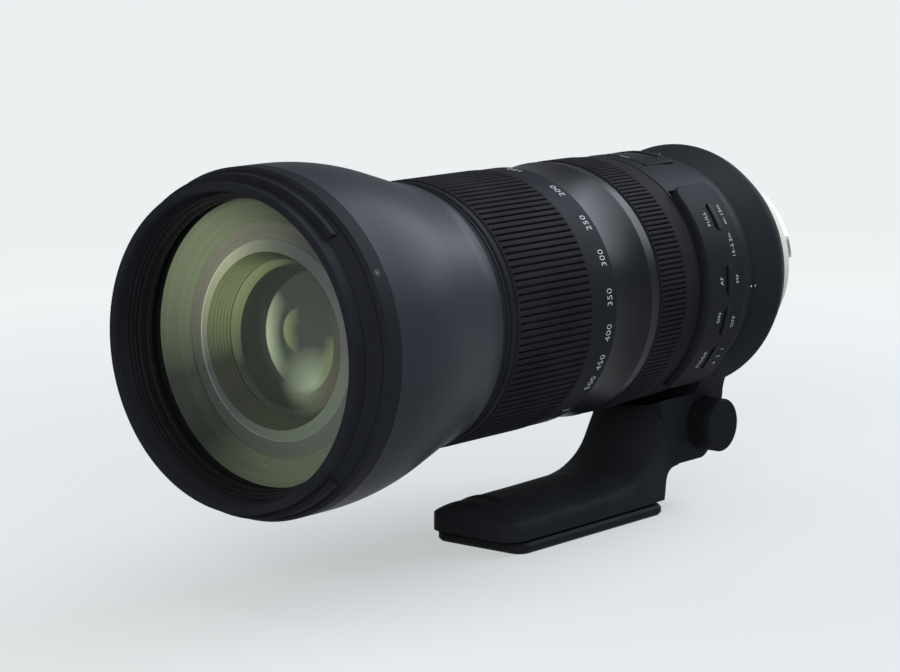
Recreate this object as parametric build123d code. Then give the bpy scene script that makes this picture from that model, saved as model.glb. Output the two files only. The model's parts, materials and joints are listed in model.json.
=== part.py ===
from build123d import *
import math
import os

os.makedirs("parts", exist_ok=True)

# Telephoto zoom lens on a rotating tripod collar, in millimetres.
# Y is the optical axis with the front of the lens towards -Y, Z is up, and the origin is the
# centre of the camera flange face. +X is the side with the switch panel and the clamp knob.
# Angles around the axis are counted from +X towards +Z.

# Turns and counts
full_turn = 360
quarter_turn = 90
half_share = 0.5

# Clearances
running_gap = 0.3
seat_gap = 0.05
overrun = 4.0

# Lengths of the zones along the axis, from the camera flange forwards
mount_plate_length = 1.2
mount_ring_length = 8.3
rear_taper_length = 6.5
collar_length = 20.6
index_ring_length = 1.4
main_barrel_length = 32.7
focus_ring_length = 24.8
cover_length = 24.1
zoom_ring_length = 55.4
trim_gap = 0.6
trim_ring_length = 4.7
flare_length = 61.4
flange_ring_length = 7.1
hood_bayonet_length = 4.6
filter_lip_length = 5.1

# Stations along the axis, in the same order
mount_plate_y = -mount_plate_length
mount_ring_y = mount_plate_y - mount_ring_length
taper_y = mount_ring_y - rear_taper_length
collar_rear_y = taper_y - running_gap
collar_front_y = collar_rear_y - collar_length
index_rear_y = collar_front_y - running_gap
index_front_y = index_rear_y - index_ring_length
main_front_y = index_front_y - main_barrel_length
focus_rear_y = main_front_y - running_gap
focus_front_y = focus_rear_y - focus_ring_length
cover_rear_y = focus_front_y - running_gap
cover_front_y = cover_rear_y - cover_length
zoom_rear_y = cover_front_y - running_gap
zoom_front_y = zoom_rear_y - zoom_ring_length
trim_rear_y = zoom_front_y - trim_gap
flare_rear_y = trim_rear_y - trim_ring_length
flare_front_y = flare_rear_y - flare_length
flange_front_y = flare_front_y - flange_ring_length
bayonet_front_y = flange_front_y - hood_bayonet_length
front_y = bayonet_front_y - filter_lip_length

# Nested tubes of the zoom mechanism, from the light path outwards
core_bore_r = 34.9
core_wall = 1.2
extension_wall = 1.6
cam_wall = 1.2
guide_wall = 1.2
ring_wall = 1.2
grip_thickness = 1.2
core_r = core_bore_r + core_wall
extension_bore_r = core_r + running_gap
extension_r = extension_bore_r + extension_wall
cam_bore_r = extension_r + running_gap
cam_r = cam_bore_r + cam_wall
guide_bore_r = cam_r + running_gap
guide_r = guide_bore_r + guide_wall
ring_bore_r = guide_r + running_gap
ring_seat_r = ring_bore_r + ring_wall
grip_r = ring_seat_r + grip_thickness

# Tubes behind the zoom mechanism, from the inside outwards
rear_step = 0.4
rear_barrel_wall = 2.4
drum_wall = 0.8
main_front_wall = 2.3
main_middle_wall = 1.95
rear_barrel_r = guide_bore_r - rear_step
rear_bore_r = rear_barrel_r - rear_barrel_wall
drum_bore_r = rear_barrel_r + running_gap
drum_r = drum_bore_r + drum_wall
main_bore_r = drum_r + running_gap
main_front_r = main_bore_r + main_front_wall
main_middle_r = main_bore_r + main_middle_wall
index_ring_height = 1.6
index_ring_r = rear_barrel_r + index_ring_height

# Front ring and flare
filter_thread_r = 47.5
filter_wall = 2.0
filter_lip_height = 0.8
filter_ring_length = 10.0
filter_chamfer = 0.5
thread_length = 5.8
groove_depth = 0.5
groove_length = 0.6
ledge_height = 0.6
filter_neck_r = filter_thread_r + filter_wall
filter_lip_r = filter_neck_r + filter_lip_height
flange_height = 4.7
flange_bevel = 0.9
barrel_max_r = filter_neck_r + flange_height
waist_step = 0.1
barrel_waist_r = grip_r + waist_step
shoulder_straight = 7.2
shoulder_arc_share = 0.8472
waist_arc_r = 22.5
barrel_wall = 2.0
barrel_web = 3.5

# Hood bayonet
hood_cone_rise = 3.1
hood_lug_thickness = 2.4
hood_lug_angles = (90, 270)
hood_lug_span = 90
hood_lug_corner = 1.0

# Zoom travel: the front unit moves by zoom_travel while the ring turns by zoom_turn
zoom_travel = 80.0
zoom_turn = 150
cam_count = 3
cam_first_angle = 30
roller_r = 2.2
roller_screw_r = 1.2
roller_head_r = 1.7
roller_head_depth = 0.7
roller_inset = 0.2
roller_edge = 3.5
cam_end_length = 4.7
cam_front_inset = 1.9
guide_rear_inset = 3.8
guide_web_length = 2.4
key_r = 2.0
key_count = 2
key_inset = 6.0
key_first_angle = -75

# Ribbed grips
zoom_rib_count = 120
focus_rib_count = 156
rib_depth = 0.8
rib_base_share = 0.78
rib_top_share = 0.56
zoom_lip_length = 2.8
zoom_lip_bevel = 0.5
zoom_band_length = 13.1
band_drop = 0.2
focus_rib_length = 15.0
focus_lip = 0.5
focus_band_drop = 0.5

# Smooth cover between the two rings
cover_front_drop = 0.8
cover_waist_drop = 1.1
cover_waist_share = 0.36
cover_ridge_length = 4.9
cover_ridge_bevel = 0.4

# Front lens cell and its glass
ring_engagement = 2.8
retaining_length = 6.2
retaining_bore_rise = 1.2
retaining_step = 1.5
lens_land = 2.4
front_rim = 4.0
front_sag = 5.2
hollow_sag = -1.0
deep_hollow_sag = -3.2
baffle_mouth_r = 44.6
baffle_ring_outer_r = 37.0
baffle_ring_inner_r = 27.5
baffle_ring_inset = 3.2
baffle_ring_cone = 2.5
baffle_depth = 7.5
second_lens_r = 24.5
second_rim = 5.0
second_sag = 3.2
third_lens_r = 21.5
third_rim = 5.0
third_sag = 2.4
rim_gap = 0.8
cell_body_length = 24.0
cell_middle_length = 14.0
cell_tail_length = 16.0
cell_tail_wall = 3.5
cell_middle_r = 44.25
tail_bore_depth = 12.0

# Moving groups inside the core tube
core_front_reach = 26.7
core_lip_length = 1.5
core_lip_height = 5.9
core_rear_inset = 6.5
core_flange_length = 2.0
rod_r = 1.2
rod_circle_r = 31.5
rod_angles = (0, 180)
variator_length = 15.0
variator_lens_r = 22.0
focus_cell_length = 10.0
focus_cell_front_inset = 27.0
focus_lens_r = 19.0
small_sag = 2.5
lens_margin = 2.0
iris_length = 5.5
iris_bore_r = 26.0
iris_pocket = 4.0
iris_blade_thickness = 0.4
iris_open_r = 20.0
iris_slot_length = 1.2

# Fixed groups in the rear barrel
stabiliser_length = 11.0
stabiliser_lens_r = 24.0
unit_spacing = 2.0
motor_length = 9.0
motor_wall = 6.5
rear_cell_flange = 5.0
rear_cell_length = 33.0
rear_cell_wall = 3.0
rear_element_r = 21.0
rear_element_rim = 5.0

# Distance scale, its window and the raised frame round it
drum_reach = 20.6
drum_end_gap = 2.0
drum_flange_length = 1.8
seat_wall = 1.1
panel_seat_r = main_bore_r + seat_wall
frame_front_inset = 5.3
frame_length = 19.5
frame_height = 1.4
frame_bevel = 0.5
frame_angles = (70, 110)
window_length = 13.0
window_inset = 3.0
window_height = 1.2
window_angles = (76, 104)
sight_angles = (78.5, 101.5)
sight_length = 9.6
window_corner = 1.5
frame_corner = 3.0

# Switch panel with four slides that move along the axis
panel_front_inset = 1.0
panel_length = 23.0
panel_height = 3.3
panel_angles = (-53, 50)
panel_corner = 4.5
panel_bevel = 1.6
panel_r = panel_seat_r + panel_height
switch_angles = (32.0, 3.4, -15.2, -34.0)
switch_names = ("focus_limit_switch", "focus_mode_switch", "stabiliser_switch", "stabiliser_mode_switch")
switch_slot_span = 15.4
switch_tab_span = 14.2
switch_tab_length = 2.6
switch_travel = 2.2
switch_proud = 0.3
switch_corner = 1.1
switch_centre_inset = 13.4

# Rear barrel, mount ring and camera bayonet
journal_step = 0.4
journal_r = rear_barrel_r - journal_step
taper_front_r = 40.6
mount_ring_r = 32.8
taper_wall = 2.2
taper_floor_length = 1.5
taper_floor_r = 30.8
mount_ring_bevel = 0.5
mount_ring_end_inset = 0.4
throat_r = 24.5
throat_wall = 3.0
throat_depth = 6.0
throat_reach = 5.2
mount_plate_r = 31.6
bayonet_lug_r = 30.0
bayonet_lug_thickness = 2.0
bayonet_lug_angles = (30, 150, 270)
bayonet_lug_span = 50
mount_screw_count = 4
mount_screw_first_angle = 45
mount_screw_circle_r = 29.5
mount_screw_r = 1.0
mount_screw_head_r = 1.8
mount_screw_head_depth = 0.8
mount_screw_length = 5.0
contact_angles = (-122, -58)
contact_width = 3.6
contact_front = 3.0
contact_reach = 3.8
contact_pin_count = 8
contact_pin_r = 0.7
contact_pin_proud = 0.4
contact_margin_angle = 5
baffle_thickness = 1.0
baffle_window_width = 32.0
baffle_window_height = 24.0
board_thickness = 1.2
board_bore_r = 26.0

# Tripod collar
lining_thickness = 0.5
lining_bore_r = journal_r + running_gap
lining_r = lining_bore_r + lining_thickness
collar_bore_r = lining_r + seat_gap
collar_front_wall = 1.15
collar_rear_wall = 4.3
collar_shoulder_length = 6.5
collar_shoulder_drop = 3.35
collar_shoulder_round = 5.0
collar_front_r = collar_bore_r + collar_front_wall
collar_rear_r = collar_bore_r + collar_rear_wall
collar_shoulder_y = collar_rear_y - collar_shoulder_length
block_half_width = 15.5
block_knee_drop = 7.9
block_flare_angle = -53
block_rear_inset = 7.2
neck_rear_inset = 1.0
neck_peak_drop = 3.4
neck_end_drop = 11.0
neck_round = 3.0
block_depth = 23.4
block_rear_round = 7.0
seam_top_reach = 17.1
seam_top_drop = 5.9
seam_run = 10.5
swing_clearance = 0.7
swing_r = panel_r + switch_proud + swing_clearance
block_bottom_z = -collar_rear_r - block_depth
seam_top_y = collar_front_y - seam_top_reach
seam_top_z = -collar_rear_r - seam_top_drop
seam_bottom_y = seam_top_y + seam_run

# Clamp: the knob's cone lifts a shoe against the journal
knob_r = 9.5
knob_rib_count = 36
knob_rib_depth = 0.7
knob_wall = 2.0
knob_length = 6.6
knob_cap_length = 2.3
knob_cap_round = 0.8
knob_drop = 10.5
knob_inset = 7.05
knob_y = collar_front_y + knob_inset
knob_z = -collar_rear_r - knob_drop
knob_base_x = block_half_width + running_gap
clamp_screw_r = 3.0
clamp_cone_r = 1.4
clamp_cone_start = 4.5
clamp_cone_end = -5.5
shoe_r = 4.0

# Foot and dovetail plate
foot_height = 83.0
foot_reach = 90.4
foot_half_width = 18.5
foot_crown = 6.0
foot_edge_round = 2.4
foot_edge_share = 0.55
toe_corner = 7.0
toe_ridge_r = 2.6
toe_ridge_inset = 12.0
toe_ridge_sink = 1.7
toe_ridge_bend = 24.0
toe_ridge_arc = 70
plate_thickness = 3.6
plate_land = 1.0
plate_half_width = 19.0
plate_length = 83.8
plate_front_inset = 4.4
plate_corner = 5.0
plate_bevel = 0.9
plate_land_inset = 2.4
foot_screw_r = 2.0
foot_screw_head_r = 3.5
foot_screw_head_length = 4.0
foot_screw_side = 9.0
foot_screw_back = 4.5
foot_screw_grip = 8.0
plate_screw_r = 1.5
plate_screw_head_r = 2.8
plate_screw_head_length = 1.6
plate_screw_length = 9.0
plate_screw_inset = 12.0
small_thread_r = 3.175
large_thread_r = 4.76
small_thread_inset = 52.4
large_thread_inset = 32.4
thread_relief = 0.6
thread_relief_depth = 4.5
plate_bottom_z = -foot_height
plate_top_z = plate_bottom_z + plate_thickness + plate_land
foot_front_y = seam_top_y - foot_reach

# Cross sections of the foot from the toe to the seam, as shares of its run from toe to seam and
# of its rise from the plate to the seam: lower point, upper edge point, half width and crown
foot_run = seam_bottom_y - foot_front_y
foot_rise = seam_top_z - plate_top_z
toe_section_shares = (0.078, -0.30, 0.078, 0.190, 1.00, 1.00)
foot_section_shares = (
    (0.000, -0.30, 0.000, 0.135, 0.97, 0.62),
    (0.022, -0.30, 0.022, 0.180, 0.99, 0.90),
    toe_section_shares,
    (0.200, -0.30, 0.200, 0.195, 1.00, 1.00),
    (0.330, -0.30, 0.330, 0.200, 1.00, 1.00),
    (0.450, -0.30, 0.450, 0.206, 1.00, 1.00),
    (0.565, -0.30, 0.565, 0.212, 1.00, 1.00),
    (0.720, -0.32, 0.640, 0.236, 1.00, 1.00),
    (0.840, -0.30, 0.715, 0.288, 0.98, 1.00),
    (0.878, 0.00, 0.765, 0.360, 0.965, 1.00),
    (0.890, 0.16, 0.805, 0.445, 0.945, 1.00),
    (0.910, 0.29, 0.845, 0.610, 0.905, 1.00),
    (0.950, 0.365, 0.872, 0.810, 0.87, 0.98),
)
seam_crown_share = 0.9


def turned(*corners):
    """A solid turned about the optical axis from corners given as radius and y."""
    return revolve(make_face(Polyline(*corners, close=True)), Axis.Y, full_turn)


def tube(outer_r, inner_r, start_y, end_y):
    """A plain ring about the optical axis."""
    return turned((inner_r, start_y), (outer_r, start_y), (outer_r, end_y), (inner_r, end_y))


def around(angle):
    """The turn that carries a piece from the +X side to an angle."""
    return Rot(0, -angle, 0)


def sector(outer_r, inner_r, start_y, end_y, low_angle, high_angle, corner_r=0):
    """A piece of a ring between two angles, with its four radial edges rounded."""
    corners = ((inner_r, start_y), (outer_r, start_y), (outer_r, end_y), (inner_r, end_y))
    outline = make_face(Polyline(*corners, close=True))
    piece = around(high_angle) * revolve(outline, Axis.Y, high_angle - low_angle)
    if corner_r > 0:
        edges = piece.edges().filter_by(GeomType.LINE).filter_by(Axis.Y, reverse=True)
        piece = fillet(edges, corner_r)
    return piece


def radial_pin(pin_r, inner_r, outer_r, y, angle):
    """A round pin whose axis points away from the optical axis."""
    length = outer_r - inner_r
    place = Pos(inner_r + length * half_share, y, 0) * Rot(0, quarter_turn, 0)
    return around(angle) * place * Cylinder(pin_r, length)


def axial_pin(pin_r, circle_r, angle, start_y, end_y):
    """A round pin parallel to the optical axis."""
    middle_y = (start_y + end_y) * half_share
    place = Pos(circle_r, middle_y, 0) * Rot(quarter_turn, 0, 0)
    return around(angle) * place * Cylinder(pin_r, end_y - start_y)


def upright_pin(pin_r, x, y, low_z, high_z):
    """A round pin parallel to Z."""
    return Pos(x, y, (low_z + high_z) * half_share) * Cylinder(pin_r, high_z - low_z)


def cross_pin(pin_r, low_x, high_x, y, z):
    """A round pin parallel to X."""
    return Pos((low_x + high_x) * half_share, y, z) * Rot(0, quarter_turn, 0) * Cylinder(pin_r, high_x - low_x)


def front_prism(outline, start_y, end_y):
    """An outline drawn in X and Z, carried along the optical axis."""
    return extrude(Plane.XZ.offset(-end_y) * outline, end_y - start_y)


def side_prism(outline, half_width):
    """An outline drawn in Y and Z, carried to both sides along X."""
    return extrude(Plane.YZ * outline, half_width, both=True)


def face_arc(rim_r, rim_y, bulge):
    """Half of a glass face from the axis to its rim: a negative bulge points towards -Y."""
    ball_r = (rim_r**2 + bulge**2) / (2 * abs(bulge))
    middle_r = rim_r * half_share
    dip = ball_r - math.sqrt(ball_r**2 - middle_r**2)
    apex_y = rim_y + bulge
    middle_y = apex_y - math.copysign(dip, bulge)
    return ThreePointArc((0, apex_y), (middle_r, middle_y), (rim_r, rim_y))


def lens(rim_r, clear_r, rim_front_y, rim_rear_y, front_bulge, rear_bulge):
    """A glass element with a flat land outside its clear faces; bulges point outwards."""
    front_face = face_arc(clear_r, rim_front_y, -front_bulge)
    rear_face = face_arc(clear_r, rim_rear_y, rear_bulge)
    outline = (
        front_face
        + Polyline((clear_r, rim_front_y), (rim_r, rim_front_y), (rim_r, rim_rear_y), (clear_r, rim_rear_y))
        + rear_face
        + Line((0, rim_rear_y + rear_bulge), (0, rim_front_y - front_bulge))
    )
    return revolve(make_face(outline), Axis.Y, full_turn)


def ribbed_outline(top_r, depth, rib_count):
    """A closed gear-like outline, one low rib per pitch."""
    pitch = full_turn / rib_count
    base_r = top_r - depth
    corners = []
    for i in range(rib_count):
        for side_share, r in (
            (-rib_base_share, base_r),
            (-rib_top_share, top_r),
            (rib_top_share, top_r),
            (rib_base_share, base_r),
        ):
            angle = math.radians((i + side_share * half_share) * pitch)
            corners.append((r * math.cos(angle), r * math.sin(angle)))
    return make_face(Polyline(*corners, close=True))


def largest_shoulder_r():
    """The shoulder arc that would meet the waist arc with no straight cone between them."""
    rise = barrel_waist_r + waist_arc_r - barrel_max_r
    run = flare_length - shoulder_straight
    return (rise**2 + run**2 - waist_arc_r**2) / (2 * (waist_arc_r - rise))


def flare_line(inset):
    """The barrel's S-shaped outline: a straight cone between its shoulder arc and its waist arc."""
    shoulder_arc_r = largest_shoulder_r() * shoulder_arc_share
    front_centre = (barrel_max_r - shoulder_arc_r, flare_front_y + shoulder_straight)
    rear_centre = (barrel_waist_r + waist_arc_r, flare_rear_y)
    across = rear_centre[0] - front_centre[0]
    along = rear_centre[1] - front_centre[1]
    slope = math.atan2(along, across) - math.acos((shoulder_arc_r + waist_arc_r) / math.hypot(across, along))
    shoulder_r = shoulder_arc_r - inset
    waist_r = waist_arc_r + inset

    def shoulder(angle):
        return (front_centre[0] + shoulder_r * math.cos(angle), front_centre[1] + shoulder_r * math.sin(angle))

    def waist(angle):
        return (rear_centre[0] - waist_r * math.cos(angle), rear_centre[1] - waist_r * math.sin(angle))

    middle = slope * half_share
    return (
        Line((barrel_max_r - inset, flare_front_y), shoulder(0))
        + ThreePointArc(shoulder(0), shoulder(middle), shoulder(slope))
        + Line(shoulder(slope), waist(slope))
        + ThreePointArc(waist(slope), waist(middle), waist(0))
    )


def flare_solid(inset):
    """The barrel's outline turned into a solid that is closed to the axis."""
    ends = Polyline(
        (barrel_waist_r - inset, flare_rear_y),
        (0, flare_rear_y),
        (0, flare_front_y),
        (barrel_max_r - inset, flare_front_y),
    )
    return revolve(make_face(flare_line(inset) + ends), Axis.Y, full_turn)


# Stations of the zoom mechanism

rib_front_y = zoom_front_y + zoom_lip_length
rib_rear_y = zoom_rear_y - zoom_band_length
key_y = zoom_front_y + key_inset
cam_front_y = zoom_front_y + cam_front_inset
guide_front_y = cam_front_y - running_gap * 2
guide_rear_y = main_front_y - guide_rear_inset
rear_barrel_front_y = guide_rear_y - guide_web_length
cam_rear_y = rear_barrel_front_y - running_gap
roller_y = cam_rear_y - cam_end_length
extension_rear_y = roller_y + roller_edge

# Stations of the front unit

cell_front_y = front_y + filter_ring_length
front_rim_y = cell_front_y + ring_engagement
first_seat_y = front_rim_y + front_rim
baffle_ring_y = first_seat_y + baffle_ring_inset
second_rim_y = baffle_ring_y + baffle_depth
second_seat_y = second_rim_y + second_rim
third_rim_y = second_seat_y + rim_gap
third_seat_y = third_rim_y + third_rim
cell_step_y = cell_front_y + cell_body_length
cell_middle_y = cell_step_y + cell_middle_length
cell_rear_y = cell_middle_y + cell_tail_length
extension_front_y = cell_rear_y - tail_bore_depth
ledge_r = filter_thread_r - ledge_height
first_lens_r = ledge_r - seat_gap
cell_tail_r = extension_r + cell_tail_wall


def make_filter_ring():
    """The thread ends in a groove, and a ledge behind it takes the retaining ring."""
    groove_y = front_y + thread_length
    return turned(
        (filter_thread_r, front_y),
        (filter_lip_r - filter_chamfer, front_y),
        (filter_lip_r, front_y + filter_chamfer),
        (filter_lip_r, bayonet_front_y - filter_lip_height),
        (filter_neck_r, bayonet_front_y),
        (filter_neck_r, cell_front_y),
        (ledge_r, cell_front_y),
        (ledge_r, groove_y + groove_length),
        (filter_thread_r + groove_depth, groove_y + groove_length),
        (filter_thread_r + groove_depth, groove_y),
        (filter_thread_r, groove_y),
    )


def make_hood_bayonet_ring():
    bore_r = filter_neck_r + seat_gap
    lug_r = bore_r + hood_cone_rise
    cone = turned(
        (bore_r, bayonet_front_y),
        (bore_r + filter_lip_height * half_share, bayonet_front_y),
        (lug_r, flange_front_y),
        (bore_r, flange_front_y),
    )
    for angle in hood_lug_angles:
        half_span = hood_lug_span * half_share
        cone += sector(
            lug_r,
            bore_r,
            bayonet_front_y,
            bayonet_front_y + hood_lug_thickness,
            angle - half_span,
            angle + half_span,
            hood_lug_corner,
        )
    return cone


def make_front_flange_ring():
    bore_r = filter_neck_r + seat_gap
    return turned(
        (bore_r, flange_front_y),
        (barrel_max_r - flange_bevel, flange_front_y),
        (barrel_max_r, flare_front_y),
        (bore_r, flare_front_y),
    )


def make_front_barrel():
    cavity = flare_solid(barrel_wall)
    web_y = flare_rear_y - barrel_web
    cavity -= tube(barrel_max_r, 0, web_y, flare_rear_y + overrun)
    shell = flare_solid(0) - cavity
    return shell - tube(extension_r + seat_gap, 0, flare_front_y - overrun, flare_rear_y + overrun)


def make_rear_trim_ring():
    ring_r = barrel_waist_r - filter_chamfer
    return turned(
        (extension_r + seat_gap, flare_rear_y),
        (ring_r, flare_rear_y),
        (ring_r, trim_rear_y - filter_chamfer),
        (ring_r - filter_chamfer, trim_rear_y),
        (extension_r + seat_gap, trim_rear_y),
    )


def make_front_retaining_ring():
    ring_r = first_lens_r
    bore_r = first_lens_r - lens_land
    ring_front_y = front_rim_y - retaining_length
    step_y = ring_front_y + retaining_step
    return turned(
        (bore_r + retaining_bore_rise, ring_front_y),
        (ring_r, ring_front_y),
        (ring_r, front_rim_y),
        (bore_r, front_rim_y),
        (bore_r, front_rim_y - retaining_step),
        (bore_r + retaining_bore_rise * half_share, front_rim_y - retaining_step),
        (bore_r + retaining_bore_rise * half_share, step_y),
        (bore_r + retaining_bore_rise, step_y),
    )


def make_front_element():
    return lens(first_lens_r, first_lens_r - lens_land, front_rim_y, first_seat_y, front_sag, hollow_sag)


def make_second_element():
    return lens(second_lens_r, second_lens_r - lens_land, second_rim_y, second_seat_y, second_sag, deep_hollow_sag)


def make_third_element():
    return lens(third_lens_r, third_lens_r - lens_land, third_rim_y, third_seat_y, third_sag, third_sag)


def make_front_lens_cell():
    """Holds the glass; inside, a funnel and a coned ring keep stray light off the smaller elements."""
    second_seat_r = second_lens_r + seat_gap
    third_seat_r = third_lens_r + seat_gap
    clear_r = third_seat_r - lens_land
    return turned(
        (ledge_r, cell_front_y),
        (filter_neck_r, cell_front_y),
        (filter_neck_r, cell_step_y),
        (cell_middle_r, cell_step_y),
        (cell_middle_r, cell_middle_y),
        (cell_tail_r, cell_middle_y),
        (cell_tail_r, cell_rear_y),
        (extension_r + seat_gap, cell_rear_y),
        (extension_r + seat_gap, extension_front_y),
        (extension_bore_r, extension_front_y),
        (extension_bore_r, cell_step_y),
        (clear_r, third_seat_y + third_sag),
        (clear_r, third_seat_y),
        (third_seat_r, third_seat_y),
        (third_seat_r, second_seat_y),
        (second_seat_r, second_seat_y),
        (second_seat_r, second_rim_y - rim_gap),
        (baffle_ring_inner_r, baffle_ring_y),
        (baffle_ring_outer_r, baffle_ring_y + baffle_ring_cone),
        (baffle_mouth_r, first_seat_y),
        (ledge_r, first_seat_y),
    )


def cam_angles():
    return [cam_first_angle + i * full_turn / cam_count for i in range(cam_count)]


def make_extension_tube():
    piece = tube(extension_r, extension_bore_r, extension_front_y, extension_rear_y)
    hole_r = roller_screw_r + seat_gap
    for angle in cam_angles():
        piece -= radial_pin(hole_r, extension_bore_r - overrun, extension_r + overrun, roller_y, angle)
    return piece


def make_cam_rollers():
    """Each roller spans the cam slot and the guide slot, held by a screw through the tube's wall."""
    solids = []
    inner_r = extension_r + seat_gap
    outer_r = guide_r - roller_inset
    head_r = outer_r - roller_head_depth
    for angle in cam_angles():
        roller = radial_pin(roller_r, inner_r, outer_r, roller_y, angle)
        roller -= radial_pin(roller_screw_r + seat_gap, inner_r - overrun, outer_r + overrun, roller_y, angle)
        roller -= radial_pin(roller_head_r + seat_gap, head_r, outer_r + overrun, roller_y, angle)
        screw = radial_pin(roller_screw_r, extension_bore_r, outer_r, roller_y, angle)
        screw += radial_pin(roller_head_r, head_r + seat_gap, outer_r, roller_y, angle)
        solids += [roller, screw]
    return Compound(solids)


# Zoom ring


def key_angles():
    return [key_first_angle + i * full_turn / key_count for i in range(key_count)]


def make_zoom_ring_shell():
    lip_r = grip_r - rib_depth * half_share
    band_r = grip_r - band_drop
    shell = turned(
        (ring_bore_r, zoom_front_y),
        (lip_r - zoom_lip_bevel, zoom_front_y),
        (lip_r, zoom_front_y + zoom_lip_bevel),
        (lip_r, rib_front_y),
        (ring_seat_r, rib_front_y),
        (ring_seat_r, rib_rear_y),
        (band_r, rib_rear_y),
        (band_r, zoom_rear_y),
        (ring_bore_r, zoom_rear_y),
    )
    for angle in key_angles():
        shell -= radial_pin(key_r + seat_gap, ring_bore_r - overrun, ring_seat_r + overrun, key_y, angle)
    return shell


def make_zoom_grip():
    sleeve = front_prism(ribbed_outline(grip_r, rib_depth, zoom_rib_count), rib_front_y, rib_rear_y)
    return sleeve - tube(ring_seat_r + seat_gap, 0, rib_front_y - overrun, rib_rear_y + overrun)


def make_cam_tube():
    """The helical slots turn by zoom_turn while they run forward by zoom_travel."""
    slot_r = roller_r + running_gap
    middle_r = (cam_bore_r + cam_r) * half_share
    pitch = zoom_travel * full_turn / zoom_turn
    path = Helix(pitch, zoom_travel, middle_r, lefthand=True)
    section = Plane(origin=path @ 0, x_dir=(1, 0, 0), z_dir=path % 0) * Rectangle(cam_wall + overrun, slot_r * 2)
    helical_cut = sweep(section, path=path, is_frenet=True)
    place = Pos(0, roller_y, 0) * Rot(quarter_turn, 0, 0)
    piece = tube(cam_r, cam_bore_r, cam_front_y, cam_rear_y)
    for angle in cam_angles():
        slot = around(angle) * place * helical_cut
        slot += radial_pin(slot_r, cam_bore_r - overrun, cam_r + overrun, roller_y, angle)
        slot += radial_pin(slot_r, cam_bore_r - overrun, cam_r + overrun, roller_y - zoom_travel, angle - zoom_turn)
        piece -= slot
    for angle in key_angles():
        piece -= radial_pin(key_r + seat_gap, cam_bore_r - overrun, cam_r + overrun, key_y, angle)
    return piece


def make_zoom_keys():
    return Compound([radial_pin(key_r, cam_bore_r, ring_seat_r - seat_gap, key_y, angle) for angle in key_angles()])


# Fixed barrel

core_front_y = cover_front_y - core_front_reach - running_gap * 2
core_rear_y = rear_barrel_front_y + core_rear_inset
iris_front_y = core_rear_y - iris_length
variator_front_y = core_front_y + core_lip_length + running_gap
focus_cell_front_y = core_rear_y - focus_cell_front_inset


def make_guide_tube():
    """Straight slots let the rollers slide, and key slots let the zoom keys turn."""
    piece = turned(
        (guide_bore_r, guide_front_y),
        (guide_r, guide_front_y),
        (guide_r, guide_rear_y),
        (rear_barrel_r + seat_gap, guide_rear_y),
        (rear_barrel_r + seat_gap, rear_barrel_front_y),
        (guide_bore_r, rear_barrel_front_y),
    )
    slot_r = roller_r + running_gap
    outline = SlotCenterToCenter(zoom_travel, slot_r * 2)
    middle_y = roller_y - zoom_travel * half_share
    slot_plane = Plane.YZ.offset(guide_bore_r - overrun)
    slot = Pos(0, middle_y, 0) * extrude(slot_plane * outline, guide_wall + overrun * 2)
    for angle in cam_angles():
        piece -= around(angle) * slot
    cut_r = key_r + running_gap
    for angle in key_angles():
        low_y, high_y = key_y - cut_r, key_y + cut_r
        piece -= sector(guide_r + overrun, guide_bore_r - overrun, low_y, high_y, angle, angle + zoom_turn)
        for end in (angle, angle + zoom_turn):
            piece -= radial_pin(cut_r, guide_bore_r - overrun, guide_r + overrun, key_y, end)
    return piece


def make_front_seal_ring():
    return tube(guide_r, extension_r + running_gap, zoom_front_y - running_gap * half_share, guide_front_y)


def make_mid_cover():
    """Slightly waisted in the middle, with a bevelled ridge at the rear."""
    front_r = grip_r - cover_front_drop
    waist_r = grip_r - cover_waist_drop
    ridge_y = cover_rear_y - cover_ridge_length
    waist_y = cover_front_y + cover_length * cover_waist_share
    outline = (
        ThreePointArc((front_r, cover_front_y), (waist_r, waist_y), (grip_r, ridge_y))
        + Polyline(
            (grip_r, ridge_y),
            (grip_r - cover_ridge_bevel, cover_rear_y),
            (guide_r + seat_gap, cover_rear_y),
            (guide_r + seat_gap, cover_front_y),
            (front_r, cover_front_y),
        )
    )
    return revolve(make_face(outline), Axis.Y, full_turn)


def make_main_barrel():
    """Full at the front, rounding down to the index ring, with seats for the raised frame and panel."""
    web_y = focus_rear_y + drum_reach + drum_end_gap
    middle_y = main_front_y + main_barrel_length * half_share
    outline = (
        ThreePointArc((main_front_r, main_front_y), (main_middle_r, middle_y), (index_ring_r, index_front_y))
        + Polyline(
            (index_ring_r, index_front_y),
            (rear_barrel_r + seat_gap, index_front_y),
            (rear_barrel_r + seat_gap, web_y),
            (main_bore_r, web_y),
            (main_bore_r, main_front_y),
            (main_front_r, main_front_y),
        )
    )
    piece = revolve(make_face(outline), Axis.Y, full_turn)
    margin = math.degrees(seat_gap / panel_seat_r)
    seats = ((frame_angles, frame_front_inset, frame_length), (panel_angles, panel_front_inset, panel_length))
    for angles, inset, length in seats:
        piece -= sector(
            main_front_r + overrun,
            panel_seat_r,
            main_front_y + inset - seat_gap,
            main_front_y + inset + length + seat_gap,
            angles[0] - margin,
            angles[1] + margin,
        )
    sight_front_y = main_front_y + frame_front_inset + window_inset + (window_length - sight_length) * half_share
    piece -= sector(
        main_front_r + overrun, main_bore_r - overrun, sight_front_y, sight_front_y + sight_length, *sight_angles
    )
    return piece


def outer_face(piece):
    return piece.faces().sort_by(SortBy.AREA)[-1]


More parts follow.
